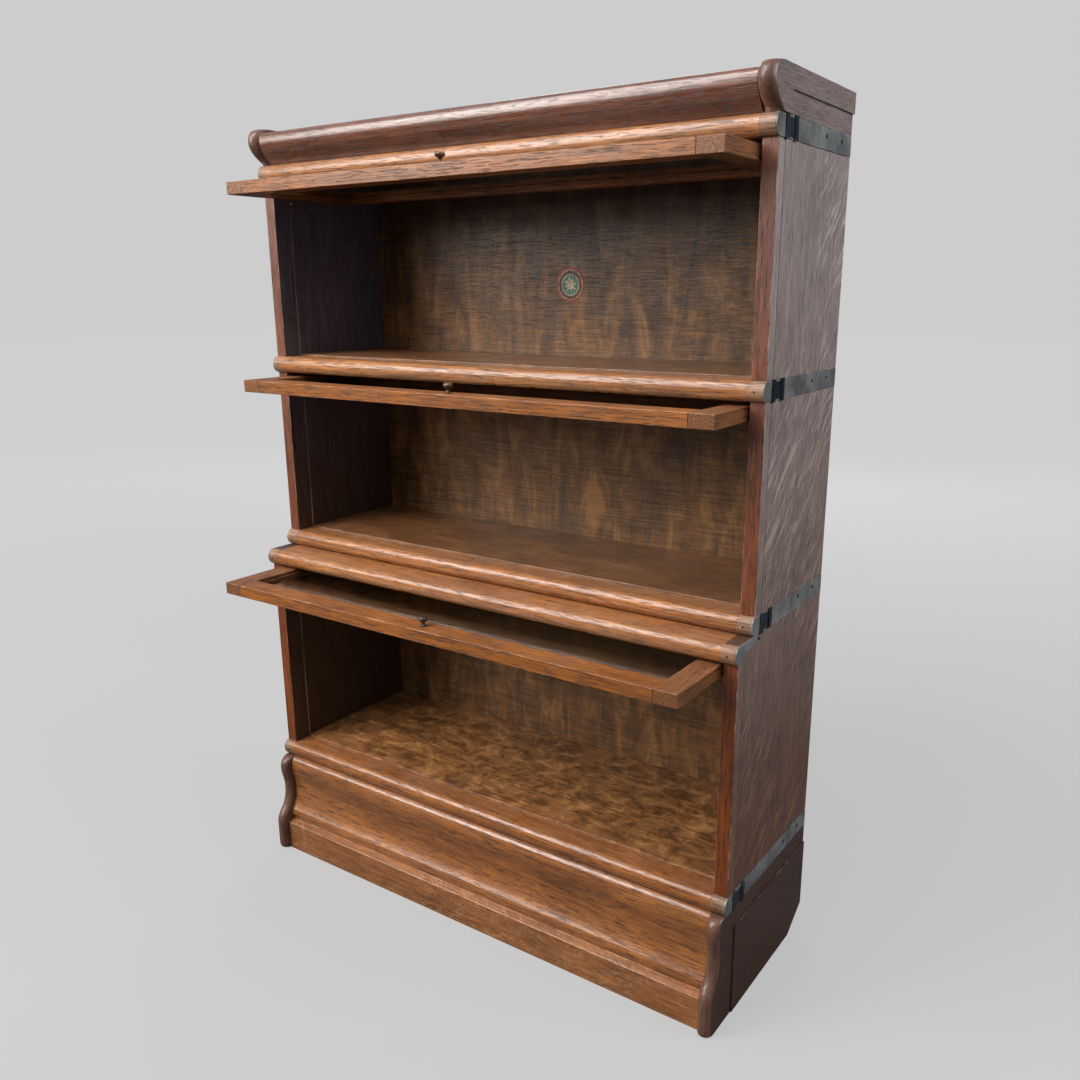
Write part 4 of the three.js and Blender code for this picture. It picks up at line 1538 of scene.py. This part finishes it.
@dataclass
class Cornice:
    """The top: a shaped moulding between two shaped ends, over a rounded rail."""

    nose_out: float = 10 * MM
    rail_height: float = 25.5 * MM
    rail_depth: float = 31 * MM
    ceiling: float = 18 * MM
    rise: float = 52 * MM
    cap_out: float = 28 * MM
    band_recess: float = 0.75 * MM
    side_thickness: float = 20 * MM
    lip_height: float = 25.5 * MM
    lip_front: float = 31 * MM
    crown: float = 5 * MM
    toe_gap: float = 1.1 * MM

    def __post_init__(self) -> None:
        """Reads the cornice's corners from the CAD and works out its levels."""
        self.low, self.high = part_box("cornice_end_right")
        rail_low, rail_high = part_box("cornice_rail")
        self.front = rail_low.y + self.nose_out
        self.inner = rail_high.x + 0.1 * MM
        self.outer = self.inner + self.side_thickness
        self.foot_top = self.low.z + self.rail_height
        self.lip_foot = self.high.z - self.lip_height
        self.cap_rear = self.front + self.lip_front

    def end_profile(self) -> list[Point]:
        """The front of the ends from the foot up, with a point level with the lip's underside."""
        f, top, foot, out = self.front, self.high.z, self.foot_top, self.cap_out
        full, rise = f - out, self.rise
        line = [(f, foot + self.toe_gap)]
        pull = (f - out * 0.4, foot + rise * 0.15)
        curve(line, pull, (full, foot + rise * 0.35), (full, top - rise * 0.37), 14)
        curve(line, (full, top - rise * 0.15), (f - out * 0.75, top - rise * 0.02), (f - out * 0.3, top), 12)
        above = next(i for i, (_, z) in enumerate(line) if z > self.lip_foot)
        (y0, z0), (y1, z1) = line[above - 1], line[above]
        line.insert(above, (y0 + (y1 - y0) * (self.lip_foot - z0) / (z1 - z0), self.lip_foot))
        return line

    def build_end(self, label: str, hand: int) -> None:
        """Makes a shaped end with its lip, the panel under the lip, the toe and the rounded foot.

        Args:
            label: left or right.
            hand: -1 or 1.
        """
        f, foot_top = self.front, self.foot_top
        across, short = (self.inner, self.high.x), self.cap_rear
        cap = shaped_end(f"cornice_cap_{label}", hand, across, short, self.end_profile())
        self.add_lip(cap)
        cap.round_crown(self.high.y, self.crown)

        def on_side(face: Face) -> bool:
            """True for the flat outside."""
            return face.normal.x * hand > 0.97

        finishes = [(Finishes.cap, None), (Finishes.cap_side, on_side)]
        cap.soften(0.8 * MM, 3, 40).place(finishes, "case", "side_oak", (f"cornice_end_{label}",))

        line = [(f - 3 * MM, foot_top - 5 * MM), (f - 4 * MM, foot_top), (f - 6 * MM, foot_top + 6 * MM)]
        toe = shaped_end(f"cornice_toe_{label}", hand, (self.inner, self.outer - 1 * MM), short, line)
        toe.soften(0.4 * MM, 2, 40).place(Finishes.cap, "case", "side_oak")

        x0, x1 = handed(hand, self.inner, self.outer)
        low = Vector((x0, f + self.side_thickness, foot_top))
        panel = Solid(f"cornice_panel_{label}").board(low, Vector((x1, self.high.y, self.lip_foot + 1 * MM)))
        panel.soften(0.8 * MM, 3).place(Finishes.cap_side, "case", "side_oak")

        outline = nose_outline(f, self.low.z, foot_top, self.nose_out, self.high.y)
        across = (self.inner, self.outer - self.band_recess)
        build_rail_end(f"cornice_rail_end_{label}", hand, across, outline)
        BandEnd().build(f"cornice_band_{label}", hand)

    def add_lip(self, piece: Solid) -> None:
        """Draws the top of a shaped end out to the back as a thick lip."""
        piece.mesh.normal_update()
        rear = [
            f
            for f in piece.mesh.faces
            if all(v.co.y > self.cap_rear - TINY for v in f.verts)
            and f.calc_center_median().z > self.lip_foot
        ]
        piece.pull(rear, REARWARD * (self.high.y - self.cap_rear))

    def build_front(self) -> None:
        """Makes the rounded rail, the ceiling behind it and the moulding above it."""
        rail_rear = self.front + self.rail_depth
        build_rounded_rail("cornice_front_rail", "cornice_rail", self.nose_out, rail_rear)
        low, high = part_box("cornice_rail")
        ceiling = Solid("cornice_ceiling")
        ceiling.board(Vector((low.x, rail_rear + 0.2 * MM, high.z - self.ceiling)), high)
        ceiling.soften(0.4 * MM, 2).place(Finishes.shelf, "case", "front_oak")

        low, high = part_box("cornice_moulding")
        f, out, top, rise = self.front, self.front - low.y, high.z, self.rise
        full, line = f - out, [(high.y, low.z), (f, low.z)]
        pull = (f - out * 0.4, low.z + rise * 0.2)
        curve(line, pull, (full, low.z + rise * 0.35), (full, top - rise * 0.27), 18)
        curve(line, (full, top - rise * 0.1), (f - out * 0.8, top), (f - out * 0.4, top), 14)
        line.append((high.y, top))
        front = Solid("cornice_shaped_front").drawn(line, low.x, high.x).soften(0.4 * MM, 2, 40)
        front.place(Finishes.cornice, "case", "front_oak", ("cornice_moulding",))

    def build(self) -> None:
        """Makes the whole cornice."""
        for label, hand in HANDS:
            self.build_end(label, hand)
        self.build_front()
        lid = Solid("cornice_lid").board(*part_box("cornice_top_board")).soften(0.6 * MM, 2)
        lid.place(Finishes.shelf, "case", "front_oak", ("cornice_top_board",))
        repaint("cornice_back", Finishes.rear)
        log.info("cornice")


@dataclass
class Plinth:
    """The base: a tall shaped moulding between two shaped ends."""

    board_out: float = 31 * MM
    board_height: float = 51 * MM
    fillet: float = 6 * MM
    lower_roll: float = 20 * MM
    cove: float = 9 * MM
    top_roll: float = 14.5 * MM
    cap_proud: float = 13 * MM
    side_thickness: float = 20 * MM
    notch_length: float = 49 * MM
    notch_height: float = 32 * MM
    plate_front: float = 26 * MM
    plate_height: float = 141 * MM

    def __post_init__(self) -> None:
        """Reads the plinth's corners from the CAD and works out where its curves meet."""
        _, self.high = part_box("plinth_end_right")
        moulding_low, moulding_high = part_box("plinth_moulding")
        self.front = moulding_low.y + self.board_out
        self.top = moulding_high.z
        self.moulding_rear = moulding_high.y
        self.inner = moulding_high.x + 0.1 * MM
        self.outer = self.inner + self.side_thickness
        self.fillet_top = self.board_height + 3 * MM + self.fillet
        self.cove_foot = self.fillet_top + 14 * MM
        self.cove_middle = self.cove_foot + (self.top - self.cove_foot) * 0.4
        self.head = self.top - 19 * MM

    def front_outline(self) -> list[Point]:
        """The moulding's outline, from the floor up: board, fillet, lower roll, cove and top roll."""
        f, top, base, foot = self.front, self.top, self.board_height, self.fillet_top
        board, cove, crown = f - self.board_out, f - self.cove, f - self.top_roll
        roll = f - self.lower_roll
        line = [(self.moulding_rear, 0.0), (board, 0.0), (board, base - 3 * MM)]
        curve(line, (board, base - 1 * MM), (board + 1 * MM, base), (board + 3 * MM, base), 6)
        line += [(roll + 1 * MM, base + 3 * MM), (roll + 1 * MM, foot)]
        bulge = roll - 3 * MM
        curve(line, (bulge, foot + 1 * MM), (bulge, foot + 9 * MM), (roll + 1 * MM, self.cove_foot), 14)
        pull = (cove - 3 * MM, self.cove_foot + 11 * MM)
        curve(line, pull, (cove, self.cove_foot + 18 * MM), (cove, self.cove_middle), 16)
        curve(line, (cove, self.cove_middle + 18 * MM), (crown, self.head - 14 * MM), (crown, self.head), 14)
        push = (f - self.top_roll * 0.75, top)
        curve(line, (crown, top - 7 * MM), push, (f - self.top_roll * 0.2, top), 12)
        return [*line, (self.moulding_rear, top)]

    def end_profile(self) -> list[Point]:
        """The shaped ends' front, from the floor up, which follows the moulding more softly."""
        f, top, base, proud = self.front, self.top, self.board_height, self.cap_proud
        face, cove, crown = (f - out - proud for out in (self.board_out, self.cove, self.top_roll))
        line = [(face + 8 * MM, 0.0)]
        curve(line, (face + 2.7 * MM, 0.7 * MM), (face, 4 * MM), (face, 11 * MM), 7)
        line.append((face, base - 1 * MM))
        curve(line, (face, base + 24 * MM), (cove, self.cove_foot - 2 * MM), (cove, self.cove_middle), 18)
        curve(line, (cove, self.cove_middle + 20 * MM), (crown, self.head - 16 * MM), (crown, self.head), 14)
        push = (f - self.top_roll * 0.5 - proud, top - 1 * MM)
        curve(line, (crown, top - 6 * MM), push, (f - proud, top), 10)
        return line

    def build_end(self, label: str, hand: int) -> None:
        """Makes one shaped end and the plate on its outside.

        Args:
            label: left or right.
            hand: -1 or 1.
        """
        across = (self.inner, self.outer)
        cap = shaped_end(f"plinth_cap_{label}", hand, across, self.high.y, self.end_profile())
        self.notch(cap)

        def behind(face: Face) -> bool:
            """True for the flat outside behind the shaped front."""
            middle = face.calc_center_median()
            return abs(face.normal.x) > 0.99 and middle.x * hand > self.outer - 1 * MM

        finishes = [(Finishes.cap, None), (Finishes.plinth_side, behind)]
        cap.soften(0.8 * MM, 3, 40).place(finishes, "case", "side_oak", (f"plinth_end_{label}",))
        x0, x1 = handed(hand, self.outer - 1 * MM, self.high.x)
        low = Vector((x0, self.front + self.plate_front, 0.0))
        plate = Solid(f"plinth_plate_{label}").board(low, Vector((x1, self.high.y, self.plate_height)))
        self.notch(plate)
        plate.soften(0.7 * MM, 3).place(Finishes.plinth_side, "case", "side_oak")

    def notch(self, piece: Solid) -> None:
        """Cuts the slanting corner at the rear floor, where a skirting board passes."""
        corner = REARWARD * (self.high.y - self.notch_length)
        slope = Vector((0.0, self.notch_height, -self.notch_length)).normalized()
        parts = [*piece.mesh.verts, *piece.mesh.edges, *piece.mesh.faces]
        made = bmesh.ops.bisect_plane(
            piece.mesh, geom=parts, plane_co=corner, plane_no=slope, dist=TINY, clear_outer=True
        )
        rim = [e for e in made["geom_cut"] if isinstance(e, bmesh.types.BMEdge)]
        bmesh.ops.contextual_create(piece.mesh, geom=rim)

    def build(self) -> None:
        """Makes the whole plinth."""
        for label, hand in HANDS:
            self.build_end(label, hand)
        low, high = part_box("plinth_moulding")
        board_top = self.board_height + 4 * MM

        def on_skirting(face: Face) -> bool:
            """True for the flat board below the mouldings."""
            return face.calc_center_median().z < board_top

        front = Solid("plinth_shaped_front").drawn(self.front_outline(), low.x, high.x)
        front.soften(0.5 * MM, 2, 40)
        finishes = [(Finishes.moulding, None), (Finishes.skirting, on_skirting)]
        front.place(finishes, "case", "front_oak", ("plinth_moulding",))
        repaint("plinth_back", Finishes.rear)
        log.info("plinth")


@dataclass
class Badge:
    """The round paper transfer on the top section's back."""

    radius: float = 26 * MM
    thickness: float = 0.2 * MM
    height: float = 0.985

    def build(self) -> None:
        """Makes the thin disc against the back panel."""
        low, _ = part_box("top_back")
        centre = Vector((-1 * MM, low.y, self.height))
        rim, thick = self.radius, self.thickness
        disc = Solid("back_transfer").turned([(0.0, 0.0), (rim, 0.0), (rim, thick), (0.0, thick)], 64)
        finish = Transfer("transfer_paper", centre=tuple(centre), radius=self.radius)
        disc.moved(aimed(FORWARD), centre).place(finish, "case", "back_veneer")
        log.info("transfer")


# ---- studio ----


@dataclass
class Studio:
    """Floor, lights and camera."""

    eye: tuple[float, float, float] = (0.8941, -1.1451, 0.9809)
    yaw: float = -34.35
    pitch: float = -15.46
    roll: float = -0.25
    lens: float = 32.74
    shift: Range = (-0.0205, 0.0179)
    floor_size: float = 40.0

    def add_lamp(self, name: str, at: Vector, aim: Vector, size: Range, power: float, tint: Colour) -> None:
        """Hangs a soft rectangular lamp.

        Args:
            name: the lamp's name.
            at: where it hangs.
            aim: what it points at.
            size: its width and height.
            power: its power in watts.
            tint: its colour.
        """
        data = bpy.data.lights.new(name, "AREA")
        data.shape = "RECTANGLE"
        data.size, data.size_y = size
        data.energy = power
        data.color = tint
        lamp = bpy.data.objects.new(name, data)
        lamp.location = at
        lamp.rotation_euler = (aim - at).to_track_quat("-Z", "Y").to_euler()
        bpy.context.scene.collection.objects.link(lamp)

    def light(self) -> None:
        """Lights the room: a grey sky, a wide key from the left, a top lamp and fills right and behind."""
        world = bpy.data.worlds.new("studio")
        world.use_nodes = True
        graph = Graph(world.node_tree)
        out = world.node_tree.nodes["World Output"]
        seen = world.node_tree.nodes["Background"]
        seen.inputs["Color"].default_value = (0.61, 0.61, 0.61, 1.0)
        seen.inputs["Strength"].default_value = 1.0
        lit = graph.node("Background")
        sky = graph.step(graph.axes(graph.node("TexCoord").outputs["Generated"])[2], 0.0, 0.8)
        graph.feed(lit.inputs["Color"], graph.mix(sky, (0.06, 0.075, 0.10), (0.37, 0.38, 0.41)))
        lit.inputs["Strength"].default_value = 1.0
        graph.split_rays("Is Camera Ray", lit.outputs[0], seen.outputs[0], out.inputs["Surface"])
        bpy.context.scene.world = world
        cool, plain, warm = (0.95, 0.97, 1.0), (1.0, 1.0, 1.0), (1.0, 0.97, 0.92)
        for name, at, aim, size, power, tint in (
            ("key", (-1.9, -2.4, 2.2), (0.0, 0.0, 0.65), (1.8, 1.8), 112.0, warm),
            ("top", (-0.5, -1.4, 2.9), (0.0, 0.0, 0.8), (2.0, 1.2), 60.0, plain),
            ("rear", (-1.5, 3.6, 1.9), (0.0, 0.0, 0.65), (2.4, 2.0), 60.0, plain),
            ("fill", (3.0, 0.6, 2.3), (0.3, 0.0, 0.9), (1.8, 1.8), 66.0, cool),
        ):
            self.add_lamp(name, Vector(at), Vector(aim), size, power, tint)

    def lay_floor(self) -> None:
        """Lays the plain pale floor."""
        data = bpy.data.meshes.new("floor")
        sheet = bmesh.new()
        bmesh.ops.create_grid(sheet, x_segments=1, y_segments=1, size=self.floor_size / 2)
        sheet.to_mesh(data)
        sheet.free()
        floor = bpy.data.objects.new("floor", data)
        bpy.context.scene.collection.objects.link(floor)
        data.materials.append(Finishes.floor.material())

    def aim_camera(self) -> None:
        """Sets the camera at the viewing angle."""
        yaw, pitch, roll = (math.radians(a) for a in (self.yaw, self.pitch, self.roll))
        ahead = Vector((math.sin(yaw) * math.cos(pitch), math.cos(yaw) * math.cos(pitch), math.sin(pitch)))
        right = Vector((math.cos(yaw), -math.sin(yaw), 0.0))
        up = right.cross(ahead)
        across = right * math.cos(roll) + up * math.sin(roll)
        upward = up * math.cos(roll) - right * math.sin(roll)
        data = bpy.data.cameras.new("camera")
        data.lens, data.sensor_width = self.lens, 36.0
        data.shift_x, data.shift_y = self.shift
        camera = bpy.data.objects.new("camera", data)
        turn = Matrix((across, upward, -ahead)).transposed().to_4x4()
        camera.matrix_world = Matrix.Translation(Vector(self.eye)) @ turn
        bpy.context.scene.collection.objects.link(camera)
        bpy.context.scene.camera = camera

    def build(self) -> None:
        """Sets up the whole studio."""
        bpy.context.scene.view_settings.view_transform = "Standard"
        self.lay_floor()
        self.light()
        self.aim_camera()
        log.info("studio")


def corners(box: tuple[Vector, Vector]) -> list[list[float]]:
    """A box's two corners as plain lists."""
    return [list(box[0]), list(box[1])]


def main() -> None:
    """Builds every part of the bookcase in order."""
    logging.basicConfig(level=logging.INFO, format="%(name)s: %(message)s")
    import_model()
    Studio().build()
    Plinth().build()
    for section in (Section("bottom", has_ledge=True), Section("middle"), Section("top")):
        section.build()
    for label, hand in HANDS:
        StepPlate().build(label, hand)
    Cornice().build()
    for name in ("bottom", "middle", "top"):
        Door(name).build()
    Badge().build()


if __name__ == "__main__":
    main()
